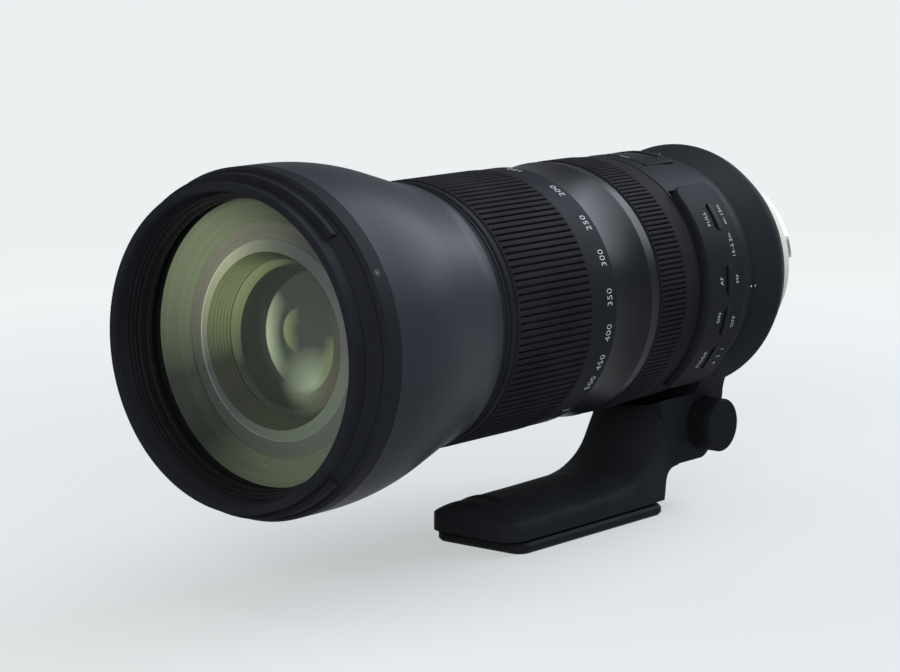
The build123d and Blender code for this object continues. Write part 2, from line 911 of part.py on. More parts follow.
def make_window_frame():
    frame_front_y = main_front_y + frame_front_inset
    frame = sector(
        panel_seat_r + frame_height,
        panel_seat_r + seat_gap,
        frame_front_y,
        frame_front_y + frame_length,
        *frame_angles,
        frame_corner,
    )
    frame = chamfer(outer_face(frame).edges(), frame_bevel)
    opening_front_y = frame_front_y + window_inset
    return frame - sector(
        panel_seat_r + frame_height + overrun,
        panel_seat_r - overrun,
        opening_front_y,
        opening_front_y + window_length,
        *window_angles,
        window_corner,
    )


def make_distance_window():
    glass_front_y = main_front_y + frame_front_inset + window_inset + seat_gap
    margin = math.degrees(seat_gap / panel_seat_r)
    return sector(
        panel_seat_r + window_height,
        panel_seat_r + seat_gap,
        glass_front_y,
        glass_front_y + window_length - seat_gap * 2,
        window_angles[0] + margin,
        window_angles[1] - margin,
        window_corner,
    )


def make_switch_panel():
    panel_front_y = main_front_y + panel_front_inset
    panel = sector(
        panel_r, panel_seat_r + seat_gap, panel_front_y, panel_front_y + panel_length, *panel_angles, panel_corner
    )
    panel = chamfer(outer_face(panel).edges(), panel_bevel)
    slot_length = switch_tab_length + switch_travel + running_gap * 2
    slot_front_y = main_front_y + switch_centre_inset - slot_length * half_share
    for angle in switch_angles:
        half_span = switch_slot_span * half_share
        panel -= sector(
            panel_r + overrun,
            panel_seat_r - overrun,
            slot_front_y,
            slot_front_y + slot_length,
            angle - half_span,
            angle + half_span,
            switch_corner,
        )
    return panel


def make_switch(angle):
    """A slide at the rear end of its slot."""
    rear_y = main_front_y + switch_centre_inset + (switch_tab_length + switch_travel) * half_share
    half_span = switch_tab_span * half_share
    return sector(
        panel_r + switch_proud,
        panel_seat_r + running_gap,
        rear_y - switch_tab_length,
        rear_y,
        angle - half_span,
        angle + half_span,
        switch_corner,
    )


def make_index_ring():
    piece = tube(index_ring_r, rear_barrel_r + seat_gap, index_front_y, index_rear_y)
    return fillet(outer_face(piece).edges(), index_ring_length * half_share * half_share)


def make_rear_barrel():
    """Carries the focus drum, the collar's journal and the taper down to the mount."""
    return turned(
        (rear_bore_r, rear_barrel_front_y),
        (rear_barrel_r, rear_barrel_front_y),
        (rear_barrel_r, index_rear_y),
        (journal_r, index_rear_y),
        (journal_r, taper_y),
        (taper_front_r, taper_y),
        (mount_ring_r - seat_gap * 2, mount_ring_y),
        (taper_floor_r, mount_ring_y),
        (taper_floor_r, mount_ring_y - taper_floor_length),
        (mount_ring_r - taper_wall, mount_ring_y - taper_floor_length),
        (rear_bore_r, taper_y),
    )


def make_core_tube():
    piece = turned(
        (core_bore_r - core_lip_height, core_front_y),
        (core_r, core_front_y),
        (core_r, core_rear_y - core_flange_length),
        (rear_bore_r - seat_gap, core_rear_y - core_flange_length),
        (rear_bore_r - seat_gap, core_rear_y),
        (core_bore_r, core_rear_y),
        (core_bore_r, core_front_y + core_lip_length),
        (core_bore_r - core_lip_height, core_front_y + core_lip_length),
    )
    for angle in rod_angles:
        piece -= axial_pin(rod_r + seat_gap, rod_circle_r, angle, core_front_y - overrun, core_front_y + overrun)
    return piece


def make_guide_rods():
    return Compound([axial_pin(rod_r, rod_circle_r, angle, core_front_y, iris_front_y) for angle in rod_angles])


def make_moving_cell(lens_r, start_y, length):
    """A lens cell that slides on the two guide rods."""
    cell = tube(core_bore_r - running_gap, lens_r + seat_gap, start_y, start_y + length)
    for angle in rod_angles:
        cell -= axial_pin(rod_r + running_gap, rod_circle_r, angle, start_y - overrun, start_y + length + overrun)
    return cell


def make_small_lens(lens_r, start_y, length):
    front = start_y + lens_margin
    return lens(lens_r, lens_r - lens_margin, front, start_y + length - lens_margin, small_sag, small_sag)


def make_iris_housing():
    middle_y = iris_front_y + iris_length * half_share
    housing = tube(core_bore_r - seat_gap, iris_bore_r, iris_front_y, core_rear_y)
    half_slot = iris_slot_length * half_share
    return housing - tube(iris_bore_r + iris_pocket, 0, middle_y - half_slot, middle_y + half_slot)


def make_iris_blades():
    """The blade stack, open, seated in the housing's slot."""
    middle_y = iris_front_y + iris_length * half_share
    low_y = middle_y - iris_blade_thickness * half_share
    return tube(iris_bore_r + iris_pocket - seat_gap, iris_open_r, low_y, low_y + iris_blade_thickness)


stabiliser_front_y = core_rear_y + unit_spacing * half_share * half_share
motor_front_y = stabiliser_front_y + stabiliser_length + unit_spacing
rear_cell_front_y = motor_front_y + motor_length + unit_spacing


def make_stabiliser_frame():
    unit_r = rear_bore_r - seat_gap
    return tube(unit_r, stabiliser_lens_r + seat_gap, stabiliser_front_y, stabiliser_front_y + stabiliser_length)


def make_stabiliser_lens():
    return make_small_lens(stabiliser_lens_r, stabiliser_front_y, stabiliser_length)


def make_focus_motor():
    unit_r = rear_bore_r - seat_gap
    return tube(unit_r, unit_r - motor_wall, motor_front_y, motor_front_y + motor_length)


def make_rear_lens_cell():
    body_r = rear_element_r + rear_cell_wall
    flange_y = rear_cell_front_y + rear_cell_flange
    return turned(
        (rear_element_r + seat_gap, rear_cell_front_y),
        (rear_bore_r - seat_gap, rear_cell_front_y),
        (rear_bore_r - seat_gap, flange_y),
        (body_r, flange_y),
        (body_r, rear_cell_front_y + rear_cell_length),
        (rear_element_r + seat_gap, rear_cell_front_y + rear_cell_length),
    )


def make_rear_element():
    end_y = rear_cell_front_y + rear_cell_length - lens_margin
    start_y = end_y - rear_element_rim
    return lens(rear_element_r, rear_element_r - lens_margin, start_y, end_y, small_sag, hollow_sag)


def make_circuit_board():
    rear_y = mount_ring_y - seat_gap
    return tube(taper_floor_r - seat_gap, board_bore_r, rear_y - board_thickness, rear_y)


def make_mount_ring():
    """The ivory ring, with a low rim round the flange plate."""
    bore_r = throat_r + throat_wall + seat_gap
    rim_bore_r = mount_plate_r + seat_gap
    end_y = -mount_ring_end_inset
    ring = turned(
        (bore_r, mount_ring_y),
        (mount_ring_r, mount_ring_y),
        (mount_ring_r, end_y - mount_ring_bevel),
        (mount_ring_r - mount_ring_bevel, end_y),
        (rim_bore_r, end_y),
        (rim_bore_r, mount_plate_y),
        (bore_r, mount_plate_y),
    )
    return ring - mount_screw_cuts()


def mount_screw_angles():
    return [mount_screw_first_angle + i * full_turn / mount_screw_count for i in range(mount_screw_count)]


def mount_screws(widening, start_overrun):
    """The four flange screws, or with a widening the holes that they go in."""
    solids = []
    shank_r, head_r = mount_screw_r + widening, mount_screw_head_r + widening
    head_y = -mount_screw_head_depth - widening
    for angle in mount_screw_angles():
        shank = axial_pin(shank_r, mount_screw_circle_r, angle, -mount_screw_length, start_overrun)
        solids.append(shank + axial_pin(head_r, mount_screw_circle_r, angle, head_y, start_overrun))
    return solids


def mount_screw_cuts():
    return Compound(mount_screws(seat_gap, overrun))


def make_bayonet_mount():
    """The flange plate and its throat tube with three lugs that lock behind the camera's own."""
    tube_r = throat_r + throat_wall
    mount = tube(mount_plate_r, throat_r, mount_plate_y, 0)
    mount += tube(tube_r, throat_r, -throat_depth, throat_reach)
    half_span = bayonet_lug_span * half_share
    lug_y = throat_reach - bayonet_lug_thickness
    for angle in bayonet_lug_angles:
        mount += sector(bayonet_lug_r, throat_r, lug_y, throat_reach, angle - half_span, angle + half_span)
    return mount - mount_screw_cuts()


def make_contact_block():
    outer_r = throat_r - seat_gap
    block = sector(outer_r, outer_r - contact_width, -contact_front, contact_reach, *contact_angles)
    for angle in contact_pin_angles():
        block -= contact_pin(angle, contact_pin_r + seat_gap, overrun)
    return block


def contact_pin_angles():
    first = contact_angles[0] + contact_margin_angle
    last = contact_angles[1] - contact_margin_angle
    return [first + i * (last - first) / (contact_pin_count - 1) for i in range(contact_pin_count)]


def contact_pin(angle, pin_r, proud):
    circle_r = throat_r - seat_gap - contact_width * half_share
    return axial_pin(pin_r, circle_r, angle, 0, contact_reach + proud)


def make_contact_pins():
    return Compound([contact_pin(angle, contact_pin_r, contact_pin_proud) for angle in contact_pin_angles()])


def make_rear_baffle():
    rear_y = -contact_front - seat_gap
    baffle = tube(throat_r - seat_gap, 0, rear_y - baffle_thickness, rear_y)
    window = front_prism(Rectangle(baffle_window_width, baffle_window_height), rear_y - overrun, rear_y + overrun)
    return baffle - window


# Focus ring

focus_rib_front_y = focus_front_y + focus_lip
focus_rib_rear_y = focus_rib_front_y + focus_rib_length
drum_front_y = guide_rear_y + running_gap * half_share


def make_focus_ring_shell():
    lip_r = grip_r - rib_depth * half_share
    return turned(
        (ring_bore_r, focus_front_y),
        (lip_r, focus_front_y),
        (lip_r, focus_front_y + focus_lip),
        (ring_seat_r, focus_front_y + focus_lip),
        (ring_seat_r, focus_rear_y - focus_lip),
        (lip_r - focus_lip, focus_rear_y - focus_lip),
        (lip_r - focus_lip, focus_rear_y),
        (ring_bore_r, focus_rear_y),
    )


def make_focus_grip():
    band_front_r = grip_r - band_drop
    band_rear_r = grip_r - focus_band_drop
    sleeve = front_prism(ribbed_outline(grip_r, rib_depth, focus_rib_count), focus_rib_front_y, focus_rib_rear_y)
    sleeve -= tube(ring_seat_r + seat_gap, 0, focus_rib_front_y - overrun, focus_rib_rear_y + overrun)
    sleeve += turned(
        (ring_seat_r + seat_gap, focus_rib_rear_y),
        (band_front_r, focus_rib_rear_y),
        (band_rear_r, focus_rear_y - focus_lip),
        (ring_seat_r + seat_gap, focus_rear_y - focus_lip),
    )
    return sleeve


def make_distance_scale():
    """The drum under the window, carried by a flange in the focus ring's rear end."""
    return turned(
        (drum_bore_r, drum_front_y),
        (ring_bore_r - seat_gap, drum_front_y),
        (ring_bore_r - seat_gap, drum_front_y + drum_flange_length),
        (drum_r, drum_front_y + drum_flange_length),
        (drum_r, focus_rear_y + drum_reach),
        (drum_bore_r, focus_rear_y + drum_reach),
    )


# Tripod collar

def make_collar_lining():
    lining = tube(lining_r, lining_bore_r, collar_front_y, collar_rear_y)
    return lining - upright_pin(shoe_r + running_gap, 0, knob_y, -lining_r - overrun, 0)


def seam_cutter():
    """Everything in front of the slanted seam between the block and the foot."""
    far_y = foot_front_y - foot_reach
    rise = seam_top_z - block_bottom_z
    slope = -seam_run / rise
    top_z, low_z = 0, block_bottom_z - overrun
    top_y = seam_top_y + (top_z - seam_top_z) * slope
    low_y = seam_top_y + (low_z - seam_top_z) * slope
    outline = make_face(Polyline((top_y, top_z), (low_y, low_z), (far_y, low_z), (far_y, top_z), close=True))
    return side_prism(outline, barrel_max_r)


def make_block():
    """The collar's lower block: straight sides that flare out to the ring, and a neck behind the clamp."""
    flare_angle = math.radians(block_flare_angle)
    flare_x, flare_z = collar_front_r * math.cos(flare_angle), collar_front_r * math.sin(flare_angle)
    knee_z = -collar_rear_r - block_knee_drop
    outline = (
        Polyline((-flare_x, flare_z), (0, 0), (flare_x, flare_z))
        + TangentArc((block_half_width, knee_z), (flare_x, flare_z), tangent=(0, 1))
        + Polyline(
            (block_half_width, knee_z),
            (block_half_width, block_bottom_z),
            (-block_half_width, block_bottom_z),
            (-block_half_width, knee_z),
        )
        + TangentArc((-block_half_width, knee_z), (-flare_x, flare_z), tangent=(0, 1))
    )
    rear_y = collar_rear_y - block_rear_inset
    neck_y = collar_rear_y - neck_rear_inset
    block = front_prism(make_face(outline), seam_top_y - seam_run, neck_y)
    side = make_face(
        Polyline(
            (seam_top_y - seam_run, 0),
            (seam_top_y - seam_run, block_bottom_z),
            (rear_y, block_bottom_z),
            (rear_y, -collar_rear_r - neck_end_drop),
            (neck_y, -collar_rear_r - neck_peak_drop),
            (collar_shoulder_y, flare_z),
            (collar_shoulder_y, 0),
            close=True,
        )
    )
    peak = side.vertices().sort_by_distance((neck_y, -collar_rear_r - neck_peak_drop, 0))[0]
    side = fillet(peak, neck_round)
    corner = side.vertices().sort_by_distance((rear_y, block_bottom_z, 0))[0]
    block &= side_prism(fillet(corner, block_rear_round), barrel_max_r)
    block -= seam_cutter()
    return block - tube(swing_r, 0, seam_top_y - seam_run - overrun, collar_front_y)


def make_collar_ring():
    """A ring that flares to a rounded shoulder, with the block for the foot and the clamp's recess."""
    outline = Polyline(
        (collar_bore_r, collar_front_y),
        (collar_front_r, collar_front_y),
        (collar_rear_r, collar_shoulder_y),
        (collar_rear_r - collar_shoulder_drop, collar_rear_y),
        (collar_bore_r, collar_rear_y),
        close=True,
    )
    face = make_face(outline)
    shoulder = face.vertices().sort_by_distance((collar_rear_r, collar_shoulder_y, 0))[0]
    ring = revolve(fillet(shoulder, collar_shoulder_round), Axis.Y, full_turn)
    ring += make_block()
    ring -= tube(collar_bore_r, 0, collar_front_y - overrun, collar_rear_y + overrun)
    ring -= cross_pin(clamp_screw_r + running_gap, clamp_cone_end - running_gap, barrel_max_r, knob_y, knob_z)
    ring -= cross_pin(knob_r + running_gap, block_half_width, barrel_max_r, knob_y, knob_z)
    ring -= upright_pin(shoe_r + running_gap, 0, knob_y, knob_z, 0)
    for screw in foot_screw_solids(seat_gap, overrun):
        ring -= screw
    return ring


def make_clamp_shoe():
    """Its top is hollowed to the journal's radius."""
    low_z = knob_z + clamp_screw_r + running_gap
    shoe = upright_pin(shoe_r, 0, knob_y, low_z, -journal_r + overrun)
    return shoe - tube(journal_r + running_gap, 0, collar_front_y - overrun, collar_rear_y + overrun)


def make_clamp_knob():
    outline = ribbed_outline(knob_r, knob_rib_depth, knob_rib_count) - Circle(knob_r - knob_wall)
    return extrude(Plane.YZ.offset(knob_base_x) * Pos(knob_y, knob_z) * outline, knob_length)


def make_clamp_screw():
    """Smooth cap, hub, shank and the cone under the shoe."""
    cap_x = knob_base_x + knob_length + seat_gap
    cap = Pos(cap_x + knob_cap_length * half_share, knob_y, knob_z) * Rot(0, quarter_turn, 0)
    cap *= Cylinder(knob_r, knob_cap_length)
    cap = fillet(cap.edges().sort_by(Axis.X)[-1], knob_cap_round)
    hub = cross_pin(knob_r - knob_wall - seat_gap, knob_base_x, cap_x, knob_y, knob_z)
    shank = cross_pin(clamp_screw_r, clamp_cone_start, knob_base_x + knob_length, knob_y, knob_z)
    cone_length = clamp_cone_start - clamp_cone_end
    cone_place = Pos(clamp_cone_end + cone_length * half_share, knob_y, knob_z) * Rot(0, quarter_turn, 0)
    return cap + hub + shank + cone_place * Cone(clamp_cone_r, clamp_screw_r, cone_length)


def foot_section(lower, upper, half_width, crown):
    """A section of the foot between a lower and an upper point in Y and Z, arched and rounded at the top."""
    run_y, run_z = upper[0] - lower[0], upper[1] - lower[1]
    length = math.hypot(run_y, run_z)

    def above(x, rise):
        """A point beside the upper point, further up the section by the rise."""
        return (x, upper[0] + rise * run_y / length, upper[1] + rise * run_z / length)

    crown_r = (half_width**2 + crown**2) / (crown * 2)
    arch_x = half_width - foot_edge_round
    arch_rise = math.sqrt(crown_r**2 - arch_x**2) - crown_r + crown
    bend_share = half_share * foot_edge_share
    bend_x = half_width - foot_edge_round * bend_share
    bend_rise = (arch_rise - foot_edge_round) * bend_share
    low_left, low_right = (-half_width, *lower), (half_width, *lower)
    side_left, side_right = above(-half_width, -foot_edge_round), above(half_width, -foot_edge_round)
    arch_left, arch_right = above(-arch_x, arch_rise), above(arch_x, arch_rise)
    edges = [
        Line(low_left, low_right),
        Line(low_right, side_right),
        ThreePointArc(side_right, above(bend_x, bend_rise), arch_right),
        ThreePointArc(arch_right, above(0, crown), arch_left),
        ThreePointArc(arch_left, above(-bend_x, bend_rise), side_left),
        Line(side_left, low_left),
    ]
    return Face(Wire(edges))


def make_tripod_foot():
    """Thick toe with a crowned top that sweeps up into the neck below the collar's block."""
    sections = []
    for lower_y, lower_z, upper_y, upper_z, width, crown in foot_section_shares:
        lower = (foot_front_y + lower_y * foot_run, plate_top_z + lower_z * foot_rise)
        upper = (foot_front_y + upper_y * foot_run, plate_top_z + upper_z * foot_rise)
        sections.append(foot_section(lower, upper, width * foot_half_width, crown * foot_crown))
    seam_length = math.hypot(seam_run, seam_top_z - block_bottom_z)
    back_y = seat_gap * (seam_top_z - block_bottom_z) / seam_length
    back_z = seat_gap * seam_run / seam_length
    sections.append(
        foot_section(
            (seam_bottom_y - back_y, block_bottom_z - back_z),
            (seam_top_y - back_y, seam_top_z - back_z),
            block_half_width,
            seam_crown_share * foot_crown,
        )
    )
    foot = loft(sections)
    below = Pos(0, foot_front_y + foot_run * half_share, plate_top_z - foot_height * half_share)
    foot -= below * Box(foot_height, foot_run * 2, foot_height)
    foot += make_toe_ridge()
    plan = RectangleRounded(foot_half_width * 2, foot_run * 2, toe_corner)
    foot &= Pos(0, foot_front_y + foot_run, plate_top_z) * extrude(plan, foot_height)
    foot -= tube(swing_r, 0, foot_front_y - overrun, collar_front_y)
    for screw in foot_screw_solids(seat_gap, foot_height):
        foot -= screw
    for screw in plate_screw_solids(seat_gap):
        foot -= screw
    for thread_r, inset in ((small_thread_r, small_thread_inset), (large_thread_r, large_thread_inset)):
        thread_y = foot_front_y + inset
        foot -= upright_pin(thread_r + thread_relief, 0, thread_y, plate_bottom_z, plate_top_z + thread_relief_depth)
    return foot


def make_toe_ridge():
    """A low finger ridge across the toe, bent more than the foot's crown so that its ends fade out."""
    lower_y, lower_z, upper_y, upper_z, width, crown = toe_section_shares
    top_z = plate_top_z + upper_z * foot_rise + crown * foot_crown
    ridge_y = foot_front_y + toe_ridge_inset
    axis = Axis((0, ridge_y, top_z - toe_ridge_bend), (0, 1, 0))
    section = Pos(0, ridge_y, top_z - toe_ridge_sink) * Rot(0, quarter_turn, 0) * Circle(toe_ridge_r)
    return revolve(section.rotate(axis, -toe_ridge_arc * half_share), axis, toe_ridge_arc)


def foot_screw_solids(widening, head_overrun):
    """Two cap screws from under the foot into the block."""
    screw_y = seam_top_y + foot_screw_back
    seam_z = seam_top_z - foot_screw_back * (seam_top_z - block_bottom_z) / seam_run
    head_top_z = block_bottom_z + foot_screw_head_length
    top_z = seam_z + foot_screw_grip
    low_z = block_bottom_z - head_overrun * half_share
    solids = []
    for side in (-foot_screw_side, foot_screw_side):
        shank = upright_pin(foot_screw_r + widening, side, screw_y, head_top_z, top_z + widening)
        head = upright_pin(foot_screw_head_r + widening, side, screw_y, low_z, head_top_z + widening)
        solids.append(shank + head)
    return solids


def plate_screw_solids(widening):
    """Two countersunk screws from under the plate into the foot."""
    solids = []
    for screw_y in (foot_front_y + plate_front_inset + plate_screw_inset, plate_rear_y - plate_screw_inset):
        head_top_z = plate_bottom_z + plate_screw_head_length
        shank = upright_pin(
            plate_screw_r + widening, 0, screw_y, head_top_z, plate_bottom_z + plate_screw_length + widening
        )
        low_z = plate_bottom_z + seat_gap if widening == 0 else plate_bottom_z - overrun
        head = upright_pin(plate_screw_head_r + widening, 0, screw_y, low_z, head_top_z + widening)
        solids.append(shank + head)
    return solids


plate_rear_y = foot_front_y + plate_front_inset + plate_length


def make_foot_screws():
    return Compound(foot_screw_solids(0, 0) + plate_screw_solids(0))


def make_dovetail_plate():
    """A bevelled plate that a quick-release clamp grips, with a narrower land under the foot."""
    middle_y = plate_rear_y - plate_length * half_share
    slab_z = plate_bottom_z + plate_thickness * half_share
    outline = RectangleRounded(plate_half_width * 2, plate_length, plate_corner)
    slab = Pos(0, middle_y, plate_bottom_z) * extrude(outline, plate_thickness)
    rims = slab.faces().sort_by(Axis.Z)[0].edges() + slab.faces().sort_by(Axis.Z)[-1].edges()
    slab = chamfer(rims, plate_bevel)
    land_outline = RectangleRounded(
        (plate_half_width - plate_land_inset) * 2, plate_length - plate_land_inset * 2, plate_corner - plate_land_inset
    )
    slab += Pos(0, middle_y, slab_z) * extrude(land_outline, plate_thickness * half_share + plate_land)
    for thread_r, inset in ((small_thread_r, small_thread_inset), (large_thread_r, large_thread_inset)):
        slab -= upright_pin(thread_r, 0, foot_front_y + inset, plate_bottom_z - overrun, plate_top_z + overrun)
    for screw in plate_screw_solids(seat_gap):
        slab -= screw
    return slab


nodes = {
    "filter_ring": make_filter_ring(),
    "hood_bayonet_ring": make_hood_bayonet_ring(),
    "front_flange_ring": make_front_flange_ring(),
    "front_barrel": make_front_barrel(),
    "rear_trim_ring": make_rear_trim_ring(),
    "front_retaining_ring": make_front_retaining_ring(),
    "front_element": make_front_element(),
    "second_element": make_second_element(),
    "third_element": make_third_element(),
    "front_lens_cell": make_front_lens_cell(),
    "extension_tube": make_extension_tube(),
    "cam_rollers": make_cam_rollers(),
    "zoom_ring_shell": make_zoom_ring_shell(),
    "zoom_grip": make_zoom_grip(),
    "cam_tube": make_cam_tube(),
    "zoom_keys": make_zoom_keys(),
    "guide_tube": make_guide_tube(),
    "front_seal_ring": make_front_seal_ring(),
    "mid_cover": make_mid_cover(),
    "main_barrel": make_main_barrel(),
    "window_frame": make_window_frame(),
    "distance_window": make_distance_window(),
    "switch_panel": make_switch_panel(),
    "index_ring": make_index_ring(),
    "rear_barrel": make_rear_barrel(),
    "core_tube": make_core_tube(),
    "guide_rods": make_guide_rods(),
    "variator_cell": make_moving_cell(variator_lens_r, variator_front_y, variator_length),
    "variator_lens": make_small_lens(variator_lens_r, variator_front_y, variator_length),
    "focus_cell": make_moving_cell(focus_lens_r, focus_cell_front_y, focus_cell_length),
    "focus_lens": make_small_lens(focus_lens_r, focus_cell_front_y, focus_cell_length),
    "iris_housing": make_iris_housing(),
    "iris_blades": make_iris_blades(),
    "stabiliser_frame": make_stabiliser_frame(),
    "stabiliser_lens": make_stabiliser_lens(),
    "focus_motor": make_focus_motor(),
    "rear_lens_cell": make_rear_lens_cell(),
    "rear_element": make_rear_element(),
    "circuit_board": make_circuit_board(),
    "mount_ring": make_mount_ring(),
    "bayonet_mount": make_bayonet_mount(),
    "mount_screws": Compound(mount_screws(0, 0)),
    "contact_block": make_contact_block(),
    "contact_pins": make_contact_pins(),
    "rear_baffle": make_rear_baffle(),
    "focus_ring_shell": make_focus_ring_shell(),
    "focus_grip": make_focus_grip(),
    "distance_scale": make_distance_scale(),
    "collar_ring": make_collar_ring(),
    "collar_lining": make_collar_lining(),
    "clamp_shoe": make_clamp_shoe(),
    "clamp_knob": make_clamp_knob(),
    "clamp_screw": make_clamp_screw(),
    "tripod_foot": make_tripod_foot(),
    "foot_screws": make_foot_screws(),
    "dovetail_plate": make_dovetail_plate(),
}
for name, angle in zip(switch_names, switch_angles):
    nodes[name] = make_switch(angle)

for name, solid in nodes.items():
    export_step(solid, f"parts/{name}.step")
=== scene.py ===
import json
import math

import bmesh
import bpy
from mathutils import Matrix, Vector


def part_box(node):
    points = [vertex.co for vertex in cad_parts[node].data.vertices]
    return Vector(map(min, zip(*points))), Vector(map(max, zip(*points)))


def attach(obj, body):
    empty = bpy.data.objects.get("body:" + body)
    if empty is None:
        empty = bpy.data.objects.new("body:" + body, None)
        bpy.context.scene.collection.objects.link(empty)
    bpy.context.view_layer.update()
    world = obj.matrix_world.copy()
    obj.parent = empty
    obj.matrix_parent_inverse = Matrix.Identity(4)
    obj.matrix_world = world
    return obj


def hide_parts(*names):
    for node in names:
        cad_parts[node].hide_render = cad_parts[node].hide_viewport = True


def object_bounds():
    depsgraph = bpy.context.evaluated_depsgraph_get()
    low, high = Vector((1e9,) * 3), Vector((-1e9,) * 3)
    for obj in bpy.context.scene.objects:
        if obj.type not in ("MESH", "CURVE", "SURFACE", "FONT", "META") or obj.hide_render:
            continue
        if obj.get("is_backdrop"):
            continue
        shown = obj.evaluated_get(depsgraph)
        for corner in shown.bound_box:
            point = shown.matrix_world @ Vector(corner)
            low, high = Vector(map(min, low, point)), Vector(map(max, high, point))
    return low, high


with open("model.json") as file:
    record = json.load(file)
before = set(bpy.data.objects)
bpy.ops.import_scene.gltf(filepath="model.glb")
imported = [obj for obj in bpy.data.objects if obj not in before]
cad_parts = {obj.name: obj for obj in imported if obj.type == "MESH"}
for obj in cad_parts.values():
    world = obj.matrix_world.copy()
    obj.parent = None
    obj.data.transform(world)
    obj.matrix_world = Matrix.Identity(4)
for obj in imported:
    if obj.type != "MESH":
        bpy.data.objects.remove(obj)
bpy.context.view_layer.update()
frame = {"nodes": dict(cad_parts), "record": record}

bl_info = {
    "name": "Camera Zoom Lens",
    "version": (1, 0, 0),
    "blender": (4, 5, 0),
    "location": "3D View > Sidebar > Zoom Lens",
    "description": "Dresses the solids of a zoom lens with turned rings, ribbed rubber, glass, scales and switches",
    "category": "Object",
}

# Shapes are worked out in millimetres, with the lens's axis along Y, its front towards -Y and its foot down.
# An angle round the axis is in degrees, 0 at +X and 90 at the top.

MM = 0.001
RING_STEPS = 192
WELD = 0.0005


def front(node):
    """The station of a node's front end, in millimetres."""
    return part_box(node)[0].y / MM


def back(node):
    """The station of a node's rear end, in millimetres."""
    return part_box(node)[1].y / MM


def reach(node):
    """How far a node reaches from the lens's axis towards +X, in millimetres."""
    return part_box(node)[1].x / MM


def sizes(node):
    """The stations of a node's two ends and its reach towards +X."""
    return front(node), back(node), reach(node)


def middle(node):
    """The station halfway along a node, in millimetres."""
    return (front(node) + back(node)) / 2


def length(node):
    """How long a node is along the axis, in millimetres."""
    return back(node) - front(node)


def round_point(radius, angle, station):
    """A point that far from the axis, at an angle in radians."""
    return (radius * math.cos(angle), station, radius * math.sin(angle))


def surface_r(node, station, angle):
    """How far from the axis a node's outer surface lies, in millimetres."""
    item, out = frame["nodes"][node], Vector(round_point(1.0, math.radians(angle), 0.0))
    place = item.matrix_world.inverted()
    found, spot, _, _ = item.ray_cast(place @ (out + Vector((0.0, station * MM, 0.0))), place.to_3x3() @ -out)
    if not found:
        raise ValueError("no surface of " + node + " at that station")
    spot = item.matrix_world @ spot
    return math.hypot(spot.x, spot.z) / MM


# Settings that a user may change


class RingSettings(bpy.types.PropertyGroup):
    """Sizes of the turned rings and the ribbed rubber."""

    edge: bpy.props.FloatProperty(
        name="Edge rounding", description="Radius on the outer edges of the rings",
        default=0.0003, min=0.00005, max=0.001, unit="LENGTH", precision=5)
    zoom_ribs: bpy.props.IntProperty(
        name="Zoom ribs", description="Ribs round the zoom rubber", default=120, min=40, max=240)
    focus_ribs: bpy.props.IntProperty(
        name="Focus ribs", description="Ribs round the focus rubber", default=156, min=40, max=300)
    groove: bpy.props.FloatProperty(
        name="Groove depth", description="Depth of the grooves between the ribs",
        default=0.0009, min=0.0002, max=0.001, unit="LENGTH", precision=5)
    threads: bpy.props.IntProperty(
        name="Filter threads", description="Turns of thread inside the front lip", default=7, min=3, max=12)


class MarkSettings(bpy.types.PropertyGroup):
    """Sizes of the painted numbers, words and marks."""

    number: bpy.props.FloatProperty(
        name="Number height", description="Height of the numbers on the zoom ring",
        default=0.0027, min=0.001, max=0.005, unit="LENGTH", precision=4)
    label: bpy.props.FloatProperty(
        name="Label height", description="Height of the words by the switches",
        default=0.0017, min=0.0008, max=0.003, unit="LENGTH", precision=4)
    relief: bpy.props.FloatProperty(
        name="Paint thickness", description="How far the marks stand proud of the surface",
        default=0.00004, min=0.00001, max=0.0002, unit="LENGTH", precision=5)


class FinishSettings(bpy.types.PropertyGroup):
    """Colours of the main finishes."""

    satin: bpy.props.FloatVectorProperty(
        name="Satin metal", description="The flared front barrel", subtype="COLOR",
        default=(0.028, 0.031, 0.038), min=0, max=1)
    black: bpy.props.FloatVectorProperty(
        name="Black metal", description="The black rings and covers", subtype="COLOR",
        default=(0.0150, 0.0165, 0.0205), min=0, max=1)
    collar: bpy.props.FloatVectorProperty(
        name="Collar paint", description="The tripod collar and its foot", subtype="COLOR",
        default=(0.0175, 0.0195, 0.0225), min=0, max=1)
    rubber: bpy.props.FloatVectorProperty(
        name="Rubber", description="The ribbed zoom and focus rubber", subtype="COLOR",
        default=(0.0165, 0.0155, 0.0190), min=0, max=1)
    ivory: bpy.props.FloatVectorProperty(
        name="Ivory", description="The pale ring by the mount", subtype="COLOR",
        default=(0.80, 0.79, 0.70), min=0, max=1)
    paint: bpy.props.FloatVectorProperty(
        name="Mark paint", description="Numbers, words and dots", subtype="COLOR",
        default=(0.62, 0.63, 0.64), min=0, max=1)


class GlassSettings(bpy.types.PropertyGroup):
    """Colours of the coated glass."""

    coat: bpy.props.FloatVectorProperty(
        name="Coating", description="Tint of what the front glass mirrors", subtype="COLOR",
        default=(0.45, 0.62, 0.42), min=0, max=1)
    inner_coat: bpy.props.FloatVectorProperty(
        name="Inner coating", description="Tint of what the glass behind it mirrors", subtype="COLOR",
        default=(0.55, 0.70, 0.40), min=0, max=1)


